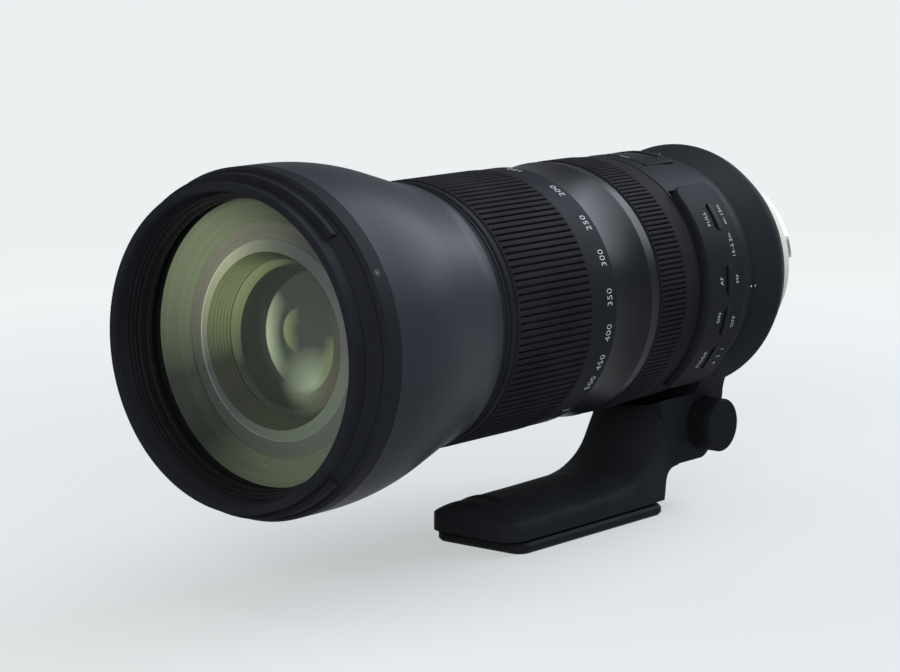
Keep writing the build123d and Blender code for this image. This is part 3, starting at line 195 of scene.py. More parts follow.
class StageSettings(bpy.types.PropertyGroup):
    """Where the camera stands, and how bright the stage is."""

    azimuth: bpy.props.FloatProperty(
        name="Azimuth", description="Camera's turn round the lens from its front",
        default=math.radians(38.99), subtype="ANGLE")
    elevation: bpy.props.FloatProperty(
        name="Elevation", description="Camera's height over the horizon",
        default=math.radians(9.24), subtype="ANGLE")
    lens: bpy.props.FloatProperty(
        name="Focal length", description="Focal length in millimetres on a 36 mm frame",
        default=119.12, min=20, max=300)
    place: bpy.props.FloatVectorProperty(
        name="Camera place", description="Where the camera stands", subtype="TRANSLATION", size=3,
        default=(0.60560, -0.90225, 0.14737), unit="LENGTH", precision=5)
    top_power: bpy.props.FloatProperty(
        name="Top lamp", description="Power of the broad lamp overhead, in watts",
        default=2.0, min=0, max=100)
    side_power: bpy.props.FloatProperty(
        name="Back lamp", description="Power of the broad lamp behind the lens, in watts",
        default=34.0, min=0, max=200)
    front_power: bpy.props.FloatProperty(
        name="Front lamp", description="Power of the lamp beside the camera, in watts",
        default=5.0, min=0, max=100)
    world: bpy.props.FloatProperty(
        name="Room light", description="Strength of the even light all round", default=0.30, min=0, max=2)


SETTINGS = {
    "zoom_lens_rings": RingSettings,
    "zoom_lens_marks": MarkSettings,
    "zoom_lens_finish": FinishSettings,
    "zoom_lens_glass": GlassSettings,
    "zoom_lens_stage": StageSettings,
}


def settings(name):
    """One group of settings, by the last word of its name."""
    return getattr(bpy.context.scene, "zoom_lens_" + name)


# Finishes


class Recipe:
    """Adds nodes to a material or a world one after another."""

    def __init__(self, owner, shader="Principled BSDF"):
        owner.use_nodes = True
        self.material, self.tree = owner, owner.node_tree
        self.shader = self.tree.nodes[shader]

    def add(self, kind, inputs=None, **values):
        """A new node with its settings and its sockets filled in."""
        node = self.tree.nodes.new("ShaderNode" + kind)
        for key, value in values.items():
            setattr(node, key, value)
        for key, value in (inputs or {}).items():
            self.set(node.inputs[key], value)
        return node

    def set(self, socket, value):
        """Gives a socket a value, or a link from another socket."""
        if isinstance(value, bpy.types.NodeSocket):
            self.tree.links.new(value, socket)
        else:
            socket.default_value = value

    def place(self):
        """Where a point lies in the lens's frame, in metres."""
        return self.add("TexCoord").outputs["Object"]

    def noise(self, vector, scale, detail=3.0, roughness=0.55):
        node = self.add(
            "TexNoise", {"Vector": vector, "Scale": scale, "Detail": detail, "Roughness": roughness})
        return node.outputs["Fac"]

    def spread(self, value, low, high, start=0.3, end=0.7):
        """Maps a value from start..end to low..high, and no further."""
        node = self.add(
            "MapRange", {"Value": value, "From Min": start, "From Max": end, "To Min": low, "To Max": high})
        return node.outputs["Result"]

    def blend(self, factor, first, second):
        """A colour between two."""
        return self.add("Mix", {"Factor": factor, 6: first, 7: second}, data_type="RGBA").outputs[2]

    def across(self, vector):
        """The part of a place that lies across the axis."""
        parts = self.add("SeparateXYZ", {"Vector": vector}).outputs
        return self.add("CombineXYZ", {"X": parts["X"], "Z": parts["Z"]}).outputs["Vector"]

    def away(self, vector, x=0.0, z=0.0):
        """How far a place lies, in millimetres, from the axis or from a line x and z beside it."""
        centre = (x * MM, 0.0, z * MM)
        metres = self.add("VectorMath", {0: self.across(vector), 1: centre}, operation="DISTANCE")
        return self.add("Math", {0: metres.outputs["Value"], 1: MM}, operation="DIVIDE").outputs["Value"]

    def towards(self, vector, angle, x=0.0, z=0.0):
        """1 where a place lies at that angle round the axis or a line beside it, -1 opposite."""
        centre = (x * MM, 0.0, z * MM)
        side = round_point(1.0, math.radians(angle), 0.0)
        spoke = self.add("VectorMath", {0: self.across(vector), 1: centre}, operation="SUBTRACT")
        unit = self.add("VectorMath", {0: spoke.outputs["Vector"]}, operation="NORMALIZE")
        found = self.add("VectorMath", {0: unit.outputs["Vector"], 1: side}, operation="DOT_PRODUCT")
        return found.outputs["Value"]

    def times(self, first, second):
        """Two values multiplied."""
        return self.add("Math", {0: first, 1: second}, operation="MULTIPLY").outputs["Value"]

    def turned(self, vector):
        """A vector that only changes along the axis and away from it, for marks of a lathe."""
        parts = self.add("SeparateXYZ", {"Vector": vector}).outputs
        away = self.add("VectorMath", {0: self.across(vector)}, operation="LENGTH").outputs["Value"]
        return self.add("CombineXYZ", {"X": away, "Y": parts["Y"]}).outputs["Vector"]

    def relief(self, height, depth):
        """Grain that deep in the surface, in metres."""
        node = self.add("Bump", {"Height": height, "Distance": depth, "Strength": 1.0})
        self.set(self.shader.inputs["Normal"], node.outputs["Normal"])

    def surface(self, colour, rough, specular, metal=0.0):
        """Fills in the usual shader."""
        values = {"Base Color": colour, "Roughness": rough, "Specular IOR Level": specular, "Metallic": metal}
        for socket, value in values.items():
            self.set(self.shader.inputs[socket], value)

    def finish_with(self, node):
        """Takes another shader than the usual one to the output."""
        self.tree.nodes.remove(self.shader)
        output = next(item for item in self.tree.nodes if item.type == "OUTPUT_MATERIAL")
        self.set(output.inputs["Surface"], node.outputs["Shader"])


def shade(colour, share):
    """A colour made darker or paler, with its alpha."""
    return tuple(min(1.0, part * share) for part in colour[:3]) + (1.0,)


ROUGH_RANGE = 0.05


def plain_finish(name, colour, rough, metal, specular, grain, relief, mottle, lathe=False):
    """A finish with fine grain in its relief and gloss, and a slow drift in its colour."""
    recipe = Recipe(bpy.data.materials.new(name))
    place = recipe.place()
    texture = recipe.turned(place) if lathe else place
    drift = recipe.noise(place, 60.0, 2.0)
    fine = recipe.noise(texture, grain)
    mixed = recipe.blend(recipe.spread(drift, 0.0, 1.0), shade(colour, 1 - mottle), shade(colour, 1 + mottle))
    recipe.surface(mixed, recipe.spread(fine, rough - ROUGH_RANGE, rough + ROUGH_RANGE), specular, metal)
    recipe.relief(fine, relief)
    return recipe.material


# The angles at which a lens's mouth has its painted light, its painted glow from below and its painted shade
MOUTH_LIGHT, MOUTH_GLOW, MOUTH_SHADOW = 132, -62, 62


def painted_light_finish(name, dark, bright, low, streaks=0.25, shadow=0.9):
    """Turned metal in a lens's mouth, with painted light from its glass on its upper left, a painted glow from below
    and painted shade on its upper right.
    """
    recipe = Recipe(bpy.data.materials.new(name))
    place = recipe.place()
    ring = recipe.noise(recipe.turned(place), 650.0, 4.0, 0.7)
    fine = recipe.noise(place, 2500.0)
    # Painted light on the upper left, and a painted glow from below
    upper = recipe.spread(recipe.towards(place, MOUTH_LIGHT), 0.0, 1.0, 0.36, 1.0)
    lower = recipe.spread(recipe.towards(place, MOUTH_GLOW), 0.0, 1.0, 0.4, 1.0)
    colour = recipe.blend(lower, recipe.blend(upper, shade(dark, 1), shade(bright, 1)), shade(low, 1))
    # Painted shade towards the upper right
    darker = recipe.spread(recipe.towards(place, MOUTH_SHADOW), 0.0, shadow, 0.4, 1.0)
    colour = recipe.blend(darker, colour, shade(dark, 0.8))
    streak = recipe.spread(ring, 0.0, streaks)
    recipe.surface(recipe.blend(streak, colour, shade(dark, 0.3)), recipe.spread(fine, 0.40, 0.50), 0.2)
    recipe.relief(ring, 0.00001)
    return recipe.material


# Circles of painted light and painted reflection on the second element: a centre's x and z, and a radius, in
# millimetres
WIDE, WIDE_R = (4.3, -0.7), 24.1
PUPIL, PUPIL_R = (12.9, 2.5), 19.9
SMALL, SMALL_R = (7.8, 3.3), 7.3
RIGHT, RIGHT_R = (2.1, -0.2), 16.7
GLOW, GLOW_R = (12.0, -14.5), 14.0
# The angles at which its edge has painted light and a painted warm-toned reflection
FILM_LIGHT, FILM_WARM = 145, -20


def painted_reflection_finish(name, dark, olive, bright, warm):
    """A coated inner lens: dark, with painted rings and crescents of light and painted reflections between its
    surfaces.
    """
    recipe = Recipe(bpy.data.materials.new(name))
    place = recipe.place()
    fine = recipe.noise(recipe.turned(place), 900.0, 4.0, 0.7)

    def disc(centre, radius, soft):
        """1 inside a circle and 0 outside it."""
        return recipe.spread(recipe.away(place, *centre), 1.0, 0.0, radius - soft, radius + soft)

    def rim(centre, first, last):
        """0 within the first radius and 1 from the last radius on."""
        return recipe.spread(recipe.away(place, *centre), 0.0, 1.0, first, last)

    def crescent(centre, first, last, angle, least):
        """A rim that is bright at one angle only."""
        side = recipe.spread(recipe.towards(place, angle, *centre), 0.0, 1.0, least, 1.0)
        return recipe.times(rim(centre, first, last), side)

    # Painted light on the outer edge, strongest at its upper left
    upper = recipe.spread(recipe.towards(place, FILM_LIGHT), 0.0, 1.0, 0.45, 1.0)
    edge = recipe.blend(upper, shade(dark, 1.3), shade(olive, 1))
    colour = recipe.blend(disc(WIDE, WIDE_R, 0.25), edge, shade(dark, 1))
    pupil = disc(PUPIL, PUPIL_R, 0.3)
    low = recipe.spread(recipe.away(place, *GLOW), 0.85, 0.0, 0.0, GLOW_R)
    lower_right = recipe.spread(recipe.towards(place, FILM_WARM), 0.0, 0.8, 0.6, 0.9)
    # Painted glows, highlights and reflections, each with where it lies
    lights = [
        (pupil, shade(dark, 1.8)),
        (recipe.times(pupil, crescent(PUPIL, 13.5, PUPIL_R, 184, 0.72)), shade(bright, 1)),
        (recipe.times(low, disc(RIGHT, 20.0, 5.0)), shade(bright, 0.9)),
        (recipe.times(disc(SMALL, SMALL_R, 0.3), crescent(SMALL, 2.0, SMALL_R, 180, 0.2)), shade(olive, 1.1)),
        (recipe.times(disc(RIGHT, RIGHT_R, 0.4), crescent(RIGHT, 13.0, 16.5, -18, 0.86)), shade(olive, 0.9)),
        (recipe.times(rim(RIGHT, 16.8, 17.5), lower_right), shade(warm, 1)),
    ]
    for share, light in lights:
        colour = recipe.blend(share, colour, light)
    streaked = recipe.blend(recipe.spread(fine, 0.0, 0.18), colour, shade(dark, 0.4))
    recipe.surface(streaked, recipe.spread(fine, 0.10, 0.16), 0.1)
    return recipe.material


def clear_finish(name, tint, coat, gloss_share, most=1.0, rough=0.01):
    """Coated glass that mirrors in its coating's colour and doesn't bend what is behind it."""
    recipe = Recipe(bpy.data.materials.new(name))
    place = recipe.place()
    film = recipe.noise(place, 35.0, 1.0)
    colour = recipe.blend(recipe.spread(film, 0.0, 1.0), shade(coat, 0.85), shade(coat, 1.15))
    clear = recipe.add("BsdfTransparent", {"Color": shade(tint, 1)})
    mirror = recipe.add("BsdfGlossy", {"Color": colour, "Roughness": rough})
    slant = recipe.add("LayerWeight", {"Blend": 0.5}).outputs["Facing"]
    edge = recipe.add("Math", {0: slant, 1: 4.0}, operation="POWER").outputs["Value"]
    share = recipe.spread(edge, gloss_share, most, 0.0, 1.0)
    recipe.finish_with(recipe.add(
        "MixShader", {0: share, 1: clear.outputs["BSDF"], 2: mirror.outputs["BSDF"]}))
    return recipe.material


def finish_rows():
    """The makers of finishes, each with what it is given for every finish of its kind."""
    colours, glass = settings("finish"), settings("glass")
    black, collar = tuple(colours.black), tuple(colours.collar)
    # Colour, roughness, metal, gloss, grain and its depth in metres, drift of the colour, marks of a lathe
    plain = {
        "barrel_satin": (colours.satin, 0.38, 0.0, 0.04, 3500, 4e-6, 0.06),
        "barrel_black": (black, 0.50, 0.0, 0.02, 3500, 6e-6, 0.08),
        "main_black": (black, 0.46, 0.0, 0.02, 3500, 6e-6, 0.08),
        "ring_metal": (black, 0.50, 0.0, 0.02, 3500, 6e-6, 0.08),
        "collar_black": (collar, 0.55, 0.0, 0.02, 2600, 1e-5, 0.10),
        "plate_black": (shade(collar, 0.8), 0.5, 0.0, 0.03, 3000, 1e-5, 0.10),
        "cover_black": (shade(black, 0.7), 0.33, 0.0, 0.06, 3500, 4e-6, 0.08),
        "panel_black": (shade(black, 0.95), 0.5, 0.0, 0.02, 2400, 1e-5, 0.10),
        "knob_black": (shade(collar, 0.55), 0.55, 0.0, 0.02, 2400, 1e-5, 0.10),
        "switch_black": ((0.012, 0.013, 0.016), 0.5, 0.0, 0.04, 2400, 1e-5, 0.10),
        # Near black for the painted shade in the switch slots
        "slot_black": ((0.002, 0.002, 0.002), 0.8, 0.0, 0.0, 2500, 2e-5, 0.15),
        "scale_black": ((0.012, 0.012, 0.013), 0.5, 0.0, 0.3, 2500, 1e-5, 0.1),
        "inner_black": ((0.006, 0.006, 0.007), 0.5, 0.0, 0.2, 2500, 2e-5, 0.15, True),
        "inner_metal": ((0.35, 0.35, 0.36), 0.35, 0.9, 0.5, 3000, 1e-5, 0.1, True),
        "inner_anodised": ((0.015, 0.015, 0.017), 0.45, 0.3, 0.4, 3000, 1e-5, 0.1, True),
        "ivory": (colours.ivory, 0.6, 0.0, 0.1, 2600, 8e-6, 0.04),
        "rubber": (colours.rubber, 0.65, 0.0, 0.02, 1800, 2e-5, 0.18),
        "lining": ((0.02, 0.02, 0.02), 0.7, 0.0, 0.2, 1500, 3e-5, 0.2),
        "board_green": ((0.01, 0.09, 0.03), 0.4, 0.0, 0.5, 2000, 2e-5, 0.2),
        "chrome": ((0.62, 0.62, 0.63), 0.18, 1.0, 0.5, 6000, 4e-6, 0.03, True),
        "steel": ((0.45, 0.45, 0.46), 0.28, 1.0, 0.5, 3500, 1e-5, 0.05),
        "dark_steel": ((0.09, 0.09, 0.10), 0.38, 0.9, 0.5, 3000, 1e-5, 0.08),
        "brass": ((0.60, 0.42, 0.16), 0.3, 1.0, 0.5, 3000, 1e-5, 0.06),
        "gold": ((0.80, 0.56, 0.20), 0.2, 1.0, 0.5, 3000, 1e-5, 0.05),
        "mark_paint": (colours.paint, 0.5, 0.0, 0.3, 3000, 4e-6, 0.05),
        "mark_grey": ((0.10, 0.10, 0.11), 0.5, 0.0, 0.3, 3000, 4e-6, 0.05),
    }
    # Tint, coating, least and greatest share of mirror, roughness of the mirror
    clear = {
        "glass_front": ((0.98, 0.99, 0.97), glass.coat, 0.006, 0.4),
        "glass": ((0.98, 0.985, 0.96), glass.inner_coat, 0.004, 0.2),
        "window_clear": ((0.55, 0.56, 0.58), (0.9, 0.92, 0.95), 0.02, 0.30, 0.05),
    }
    # Dark colour, colour of the painted light and colour of the painted glow from below, share of the streaks, share
    # of the painted shade
    lit = {
        "cell_green": ((0.03, 0.035, 0.03), (0.31, 0.35, 0.225), (0.17, 0.20, 0.14), 0.25, 0.3),
        "cell_warm": ((0.09, 0.09, 0.09), (0.35, 0.33, 0.27), (0.14, 0.155, 0.14), 0.25, 0.4),
        "cell_pale": ((0.13, 0.14, 0.145), (0.66, 0.67, 0.48), (0.20, 0.23, 0.19), 0.1),
        "cell_olive": ((0.055, 0.055, 0.045), (0.38, 0.42, 0.22), (0.085, 0.095, 0.075)),
    }
    # Dark colour, then the colours of the painted light, painted highlight and painted warm-toned reflection
    film = {"film_glass": ((0.045, 0.05, 0.045), (0.32, 0.35, 0.19), (0.66, 0.76, 0.52), (0.13, 0.11, 0.085))}
    return [(plain_finish, plain), (clear_finish, clear), (painted_light_finish, lit), (painted_reflection_finish, film)]


def finish(name):
    """The finish of that name, made the first time it is asked for."""
    label = "lens_" + name
    found = bpy.data.materials.get(label)
    if found:
        return found
    return next(make(label, *rows[name]) for make, rows in finish_rows() if name in rows)


# Shapes


def mesh_of(name, shape, crease):
    """A finished mesh in metres from a bmesh in millimetres, smooth but for its creases."""
    bmesh.ops.remove_doubles(shape, verts=shape.verts, dist=WELD)
    bmesh.ops.recalc_face_normals(shape, faces=shape.faces)
    bmesh.ops.scale(shape, vec=(MM, MM, MM), verts=shape.verts)
    mesh = bpy.data.meshes.new(name)
    shape.to_mesh(mesh)
    shape.free()
    mesh.polygons.foreach_set("use_smooth", [True] * len(mesh.polygons))
    mesh.set_sharp_from_angle(angle=math.radians(crease))
    return mesh


def piece(name, shape, body, slot, hides=(), colour=None, crease=32.0):
    """Puts a shape in the scene, riding on a body, in the finish of its slot or of another name."""
    item = bpy.data.objects.new(name, mesh_of(name, shape, crease))
    bpy.context.scene.collection.objects.link(item)
    item.data.materials.append(finish(colour or slot))
    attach(item, body)
    if hides:
        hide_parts(*hides)
    return item


# How far a rounded corner may reach along its shorter side, and the run of the line that leads into it
ROOM_SHARE, LEAD_SHARE = 0.45, 0.6
STRAIGHT = math.radians(88)


def eased(points, default=0.0, bends=3):
    """A closed outline with its corners rounded. A point is (across, along) or (across, along, radius)."""
    outline = []
    for index, point in enumerate(points):
        radius = point[2] if len(point) > 2 else default
        here = Vector(point[:2])
        to_last = Vector(points[index - 1][:2]) - here
        to_next = Vector(points[(index + 1) % len(points)][:2]) - here
        reach_last, reach_next = to_last.length, to_next.length
        half = to_last.angle(to_next) / 2 if reach_last and reach_next else math.pi / 2
        if radius <= 0 or half > STRAIGHT:
            outline.append(here)
            continue
        room = min(reach_last, reach_next) * ROOM_SHARE
        cut = min(radius / math.tan(half), room)
        arc_r = cut * math.tan(half)
        a, b = to_last.normalized(), to_next.normalized()
        centre = here + (a + b).normalized() * (cut / math.cos(half))
        spare = min(cut * LEAD_SHARE, room - cut)
        if spare > 0.01:
            outline.append(here + a * (cut + spare))
        first, last = here + a * cut - centre, here + b * cut - centre
        for bend in range(bends + 1):
            spoke = first.lerp(last, bend / bends)
            outline.append(centre + spoke.normalized() * arc_r)
        if spare > 0.01:
            outline.append(here + b * (cut + spare))
    return outline


def join(shape, here, beside):
    """Faces between two closed rows of vertices."""
    for index in range(len(here)):
        after = (index + 1) % len(here)
        shape.faces.new((here[index], here[after], beside[after], beside[index]))


def turn_up(outline, start=0.0, sweep=360.0, steps=RING_STEPS, shape=None):
    """Turns a closed outline of (radius, station) round the lens's axis."""
    shape = shape or bmesh.new()
    whole = sweep >= 360.0
    rings = []
    for column in range(steps if whole else steps + 1):
        angle = math.radians(start + sweep * column / steps)
        rings.append([shape.verts.new(round_point(r, angle, y)) for r, y in outline])
    for column in range(steps):
        join(shape, rings[column], rings[(column + 1) % len(rings)])
    if not whole:
        shape.faces.new(rings[0])
        shape.faces.new(list(reversed(rings[-1])))
    return shape


def ribbed(inner, depth, ribs, rows, land=0.62, wall=0.09):
    """A sleeve with ribs along the axis. A row is (station, radius, share of the groove's depth)."""
    half_land, half_foot = land / 2, land / 2 + wall
    across = [
        (-half_land, 0.0), (-half_land + 0.06, -0.03), (0.0, -0.05), (half_land - 0.06, -0.03),
        (half_land, 0.0), (half_land + wall * 0.35, 0.25), (half_foot, 0.92), (0.5, 1.0),
        (1 - half_foot, 0.92), (1 - half_land - wall * 0.35, 0.25),
    ]
    rows = [(rows[0][0], inner, 0), *rows, (rows[-1][0], inner, 0)]
    shape = bmesh.new()
    rings = []
    for rib in range(ribs):
        for share, drop in across:
            angle = math.tau * (rib + share) / ribs
            rings.append([shape.verts.new(round_point(radius - depth * drop * open_share, angle, station))
                          for station, radius, open_share in rows])
    for index, ring in enumerate(rings):
        join(shape, ring, rings[(index + 1) % len(rings)])
    return shape


def flat(outlines, thickness, ease=0.0, bends=3):
    """A flat plate from one outline and its holes, with rounded edges, its underside at height 0."""
    curve = bpy.data.curves.new("flat", "CURVE")
    curve.dimensions, curve.fill_mode = "2D", "BOTH"
    for index, outline in enumerate(outlines):
        spline = curve.splines.new("POLY")
        spline.points.add(len(outline) - 1)
        for point, place in zip(spline.points, reversed(outline) if index else outline):
            point.co = (place[0], place[1], 0, 1)
        spline.use_cyclic_u = True
    curve.bevel_depth, curve.bevel_resolution, curve.offset = ease, bends, -ease
    curve.extrude = thickness / 2 - ease
    return solid_from(curve, thickness / 2)


def solid_from(curve, lift):
    """A bmesh from a curve or text, lifted along its own Z."""
    item = bpy.data.objects.new("curve", curve)
    bpy.context.scene.collection.objects.link(item)
    mesh = bpy.data.meshes.new_from_object(item.evaluated_get(bpy.context.evaluated_depsgraph_get()))
    bpy.data.objects.remove(item)
    bpy.data.curves.remove(curve)
    shape = bmesh.new()
    shape.from_mesh(mesh)
    bpy.data.meshes.remove(mesh)
    bmesh.ops.translate(shape, vec=(0, 0, lift), verts=shape.verts)
    bmesh.ops.remove_doubles(shape, verts=shape.verts, dist=WELD)
    return shape


def box_outline(width, height, corner, centre=(0, 0), bends=5):
    """A rectangle with rounded corners."""
    x, y = width / 2, height / 2
    corners = [(-x, -y), (x, -y), (x, y), (-x, y)]
    return eased([(centre[0] + a, centre[1] + b, corner) for a, b in corners], bends=bends)


# The widest flat facet on a bent shape
FACET = 1.2


def bend_round(shape, radius, angle, station):
    """Bends a flat shape round the axis: its X runs round the lens, its Y forwards, its Z outwards."""
    low = min(v.co.x for v in shape.verts)
    high = max(v.co.x for v in shape.verts)
    cuts = int((high - low) / FACET)
    for cut in range(1, cuts + 1):
        x = low + (high - low) * cut / (cuts + 1)
        whole = shape.verts[:] + shape.edges[:] + shape.faces[:]
        bmesh.ops.bisect_plane(shape, geom=whole, plane_co=(x, 0, 0), plane_no=(1, 0, 0))
    for vert in shape.verts:
        turn = math.radians(angle) + vert.co.x / radius
        vert.co = round_point(radius + vert.co.z, turn, station - vert.co.y)
    return shape


# A capital's height as a share of the font's size, the room between letters, and how much thinner strokes get
CAPITAL_SHARE, SPACING, THINNING = 0.70, 1.08, 0.022


def words(text, height, thickness, turn=0.0):
    """Raised letters, centred on the origin."""
    curve = bpy.data.curves.new("words", "FONT")
    curve.body, curve.size, curve.extrude = text, height / CAPITAL_SHARE, thickness / 2
    curve.space_character, curve.resolution_u, curve.offset = SPACING, 3, -height * THINNING
    shape = solid_from(curve, thickness / 2)
    xs, ys = [v.co.x for v in shape.verts], [v.co.y for v in shape.verts]
    centre = ((min(xs) + max(xs)) / 2, (min(ys) + max(ys)) / 2, 0)
    bmesh.ops.translate(shape, vec=[-part for part in centre], verts=shape.verts)
    if turn:
        bmesh.ops.rotate(
            shape, cent=(0, 0, 0), matrix=Matrix.Rotation(math.radians(turn), 3, "Z"), verts=shape.verts)
    return shape


def gather(shapes):
    """One bmesh from several."""
    whole = bmesh.new()
    for shape in shapes:
        mesh = bpy.data.meshes.new("part")
        shape.to_mesh(mesh)
        shape.free()
        whole.from_mesh(mesh)
        bpy.data.meshes.remove(mesh)
    return whole


def paint(name, shapes, body, colour="mark_paint"):
    """Puts marks in the scene as one piece."""
    piece(name, gather(shapes), body, "ivory", colour=colour)


# Front unit

NECK_R = 49.5
THREAD_R = 47.5
LIP_BORE_R = 46.9
LIP_DEPTH = 5.8
THREAD_HEIGHT = 0.35
CONE_R = 52.65
LUG_LENGTH, LUG_SPAN = 2.4, 90
HOOD_MARK_ANGLE, HOOD_MARK_Y, HOOD_MARK_HEIGHT = 28.7, -246.7, 0.04


def thread_teeth(radius, start, end, turns, depth):
    """The outline of a thread's ridges, as rings that stand in from radius."""
    points, pitch = [], (end - start) / turns
    for turn in range(turns):
        y = start + turn * pitch
        points += [(radius + depth, y + pitch * 0.1), (radius, y + pitch * 0.4), (radius, y + pitch * 0.6)]
    return points


class ZOOMLENS_OT_front_rings(bpy.types.Operator):
    """Make the filter lip with its thread, the hood bayonet and the widest ring"""

    bl_idname = "zoom_lens.front_rings"
    bl_label = "Front rings"

    def execute(self, context):
        rings = settings("rings")
        edge = rings.edge / MM
        tip, lip_back, lip_r = sizes("filter_ring")
        flange_y, flange_back, wide = sizes("front_flange_ring")
        lug_y, cone_y = front("hood_bayonet_ring"), back("hood_bayonet_ring")
        groove_y, bore = tip + LIP_DEPTH, NECK_R + 0.05
        outline = eased([
            (THREAD_R + THREAD_HEIGHT, tip, 0.15), (lip_r, tip, edge), (lip_r, lug_y - 0.3, edge),
            (NECK_R, lug_y - 0.05), (NECK_R, lip_back), (LIP_BORE_R, lip_back), (LIP_BORE_R, groove_y + 0.6),
            (THREAD_R + 0.5, groove_y + 0.6), (THREAD_R + 0.5, groove_y)])
        threads = thread_teeth(THREAD_R, tip + 0.5, groove_y, rings.threads, THREAD_HEIGHT)
        outline += [Vector(point) for point in reversed(threads)]
        piece("filter_lip", turn_up(outline), "front_unit", "barrel_black", ["filter_ring"])

        cone = turn_up(eased([(bore, lug_y), (bore + 0.5, lug_y, 0.1), (CONE_R, cone_y - 0.3, 0.2),
                              (CONE_R, cone_y), (bore, cone_y)]))
        lug_r, lug_back = CONE_R - 0.05, lug_y + LUG_LENGTH
        for angle in (90, 270):
            lug = eased([(bore, lug_y + 0.05), (lug_r, lug_y + 0.05, 0.5), (lug_r, lug_back, 0.35),
                         (bore, lug_back)])
            turn_up(lug, angle - LUG_SPAN / 2, LUG_SPAN, 64, cone)
        piece("hood_bayonet", cone, "front_unit", "barrel_black", ["hood_bayonet_ring"])

        ring = turn_up(eased([(bore, flange_y), (CONE_R + 0.7, flange_y, 0.35), (wide, flange_y + 1.1, 0.5),
                              (wide, flange_back - 0.08, 0.08), (bore, flange_back)]))
        piece("wide_ring", ring, "front_unit", "barrel_black", ["front_flange_ring"])

        rounds = [[box_outline(1.9, 1.9, 0.94), box_outline(1.6, 1.6, 0.79)], [box_outline(0.75, 0.75, 0.37)]]
        flats = [flat(outlines, HOOD_MARK_HEIGHT) for outlines in rounds]
        paint("hood_mark", [bend_round(shape, wide, HOOD_MARK_ANGLE, HOOD_MARK_Y) for shape in flats],
              "front_unit", "mark_grey")
        return {"FINISHED"}


# The lens cell's outline, as (radius, station), from its mouth to its rear and back outside
MOUTH_R, WALL_R = 44.6, 46.95
FUNNEL_END = (37.0, -237.5)
CELL_FACE = [(36.2, -237.75), (31.2, -239.0), (30.9, -238.75), (27.8, -239.85), (27.5, -240.0)]
THROAT = [(27.5, -239.7), (24.75, -233.4)]
CELL_BORE = [(24.55, -233.3), (24.55, -227.5), (21.55, -227.4), (21.55, -221.6), (20.4, -221.6), (20.4, -219.0)]
CELL_SHELL = [(36.2, -212.0), (36.2, -209.0), (41.5, -209.0), (41.5, -212.0), (44.25, -212.0), (44.25, -226.0),
              (49.4, -226.0), (49.4, -249.9), (WALL_R, -249.9)]
FUNNEL_STEPS, THROAT_STEPS, STEP_HEIGHT = 14, 6, 0.07
# Finishes of the cell, which carry painted light and shade: between which radii and which stations
CELL_ZONES = [("cell_green", 36.1, 45, -250, -236), ("cell_warm", 31.2, 36.1, -241, -236),
              ("cell_pale", 27.6, 31.2, -241, -238), ("cell_olive", 20.4, 27.6, -241, -217.5)]


class ZOOMLENS_OT_front_glass(bpy.types.Operator):
    """Make the retaining ring and the stepped baffle round the glass"""

    bl_idname = "zoom_lens.front_glass"
    bl_label = "Front glass and baffle"

    def execute(self, context):
        ring_y, seat_y, wall = sizes("front_retaining_ring")
        lip_r, bore_r, step = MOUTH_R - 0.15, MOUTH_R + 0.45, 1.5
        ring = turn_up(eased([
            (wall - 1.15, ring_y, 0.12), (wall, ring_y, 0.1), (wall, seat_y), (lip_r, seat_y),
            (lip_r, seat_y - step, 0.1), (bore_r, seat_y - step, 0.1), (bore_r, ring_y + step, 0.1),
            (wall - 1.2, ring_y + step, 0.1)]))
        piece("retaining_ring", ring, "front_unit", "inner_black", ["front_retaining_ring"])

        mouth_y = back("front_element")
        funnel = saw_line((MOUTH_R, mouth_y), FUNNEL_END, FUNNEL_STEPS, STEP_HEIGHT)
        throat = saw_line(*THROAT, THROAT_STEPS, STEP_HEIGHT)
        points = funnel + CELL_FACE + throat + CELL_BORE + CELL_SHELL + [(WALL_R, mouth_y + 0.02)]
        cell = turn_up([Vector(point) for point in points])
        item = piece("lens_cell", cell, "front_unit", "inner_black", ["front_lens_cell"], crease=24)
        for slot, (name, inner, outer, first, last) in enumerate(CELL_ZONES, 1):
            item.data.materials.append(finish(name))
            for face in item.data.polygons:
                away, along = math.hypot(face.center.x, face.center.z) / MM, face.center.y / MM
                if inner < away < outer and first < along < last:
                    face.material_index = slot
        return {"FINISHED"}


def saw_line(start, end, teeth, depth):
    """A line broken into small steps, as the ridges that keep stray light off the glass."""
    start, end = Vector(start), Vector(end)
    way = (end - start) / teeth
    side = Vector((-way.y, way.x)).normalized() * depth
    points = []
    for tooth in range(teeth):
        foot = start + way * tooth
        points += [tuple(foot), tuple(foot + way * 0.25 + side), tuple(foot + way * 0.5)]
    points.append(tuple(end))
    return points


# Zoom ring and focus ring


def grip_rows(start, end, radius, ease, open_front, open_back):
    """Rows for a ribbed sleeve whose grooves run out before its ends."""
    first, last = [
        [(0, radius - ease, 0), (ease * 0.3, radius - ease * 0.3, 0), (ease, radius, 0), (gap, radius, 0),
         (gap + 0.25, radius, 0.75), (gap + 0.7, radius, 1)] for gap in (open_front, open_back)]
    return ([(start + run, r, share) for run, r, share in first]
            + [(end - run, r, share) for run, r, share in reversed(last)])


GRIP_BORE = 42.55
GRIP_SEAT = 42.5
RING_BORE = 41.3
TRIM_BORE = 38.1
FOCUS_RIB_END = -80.9


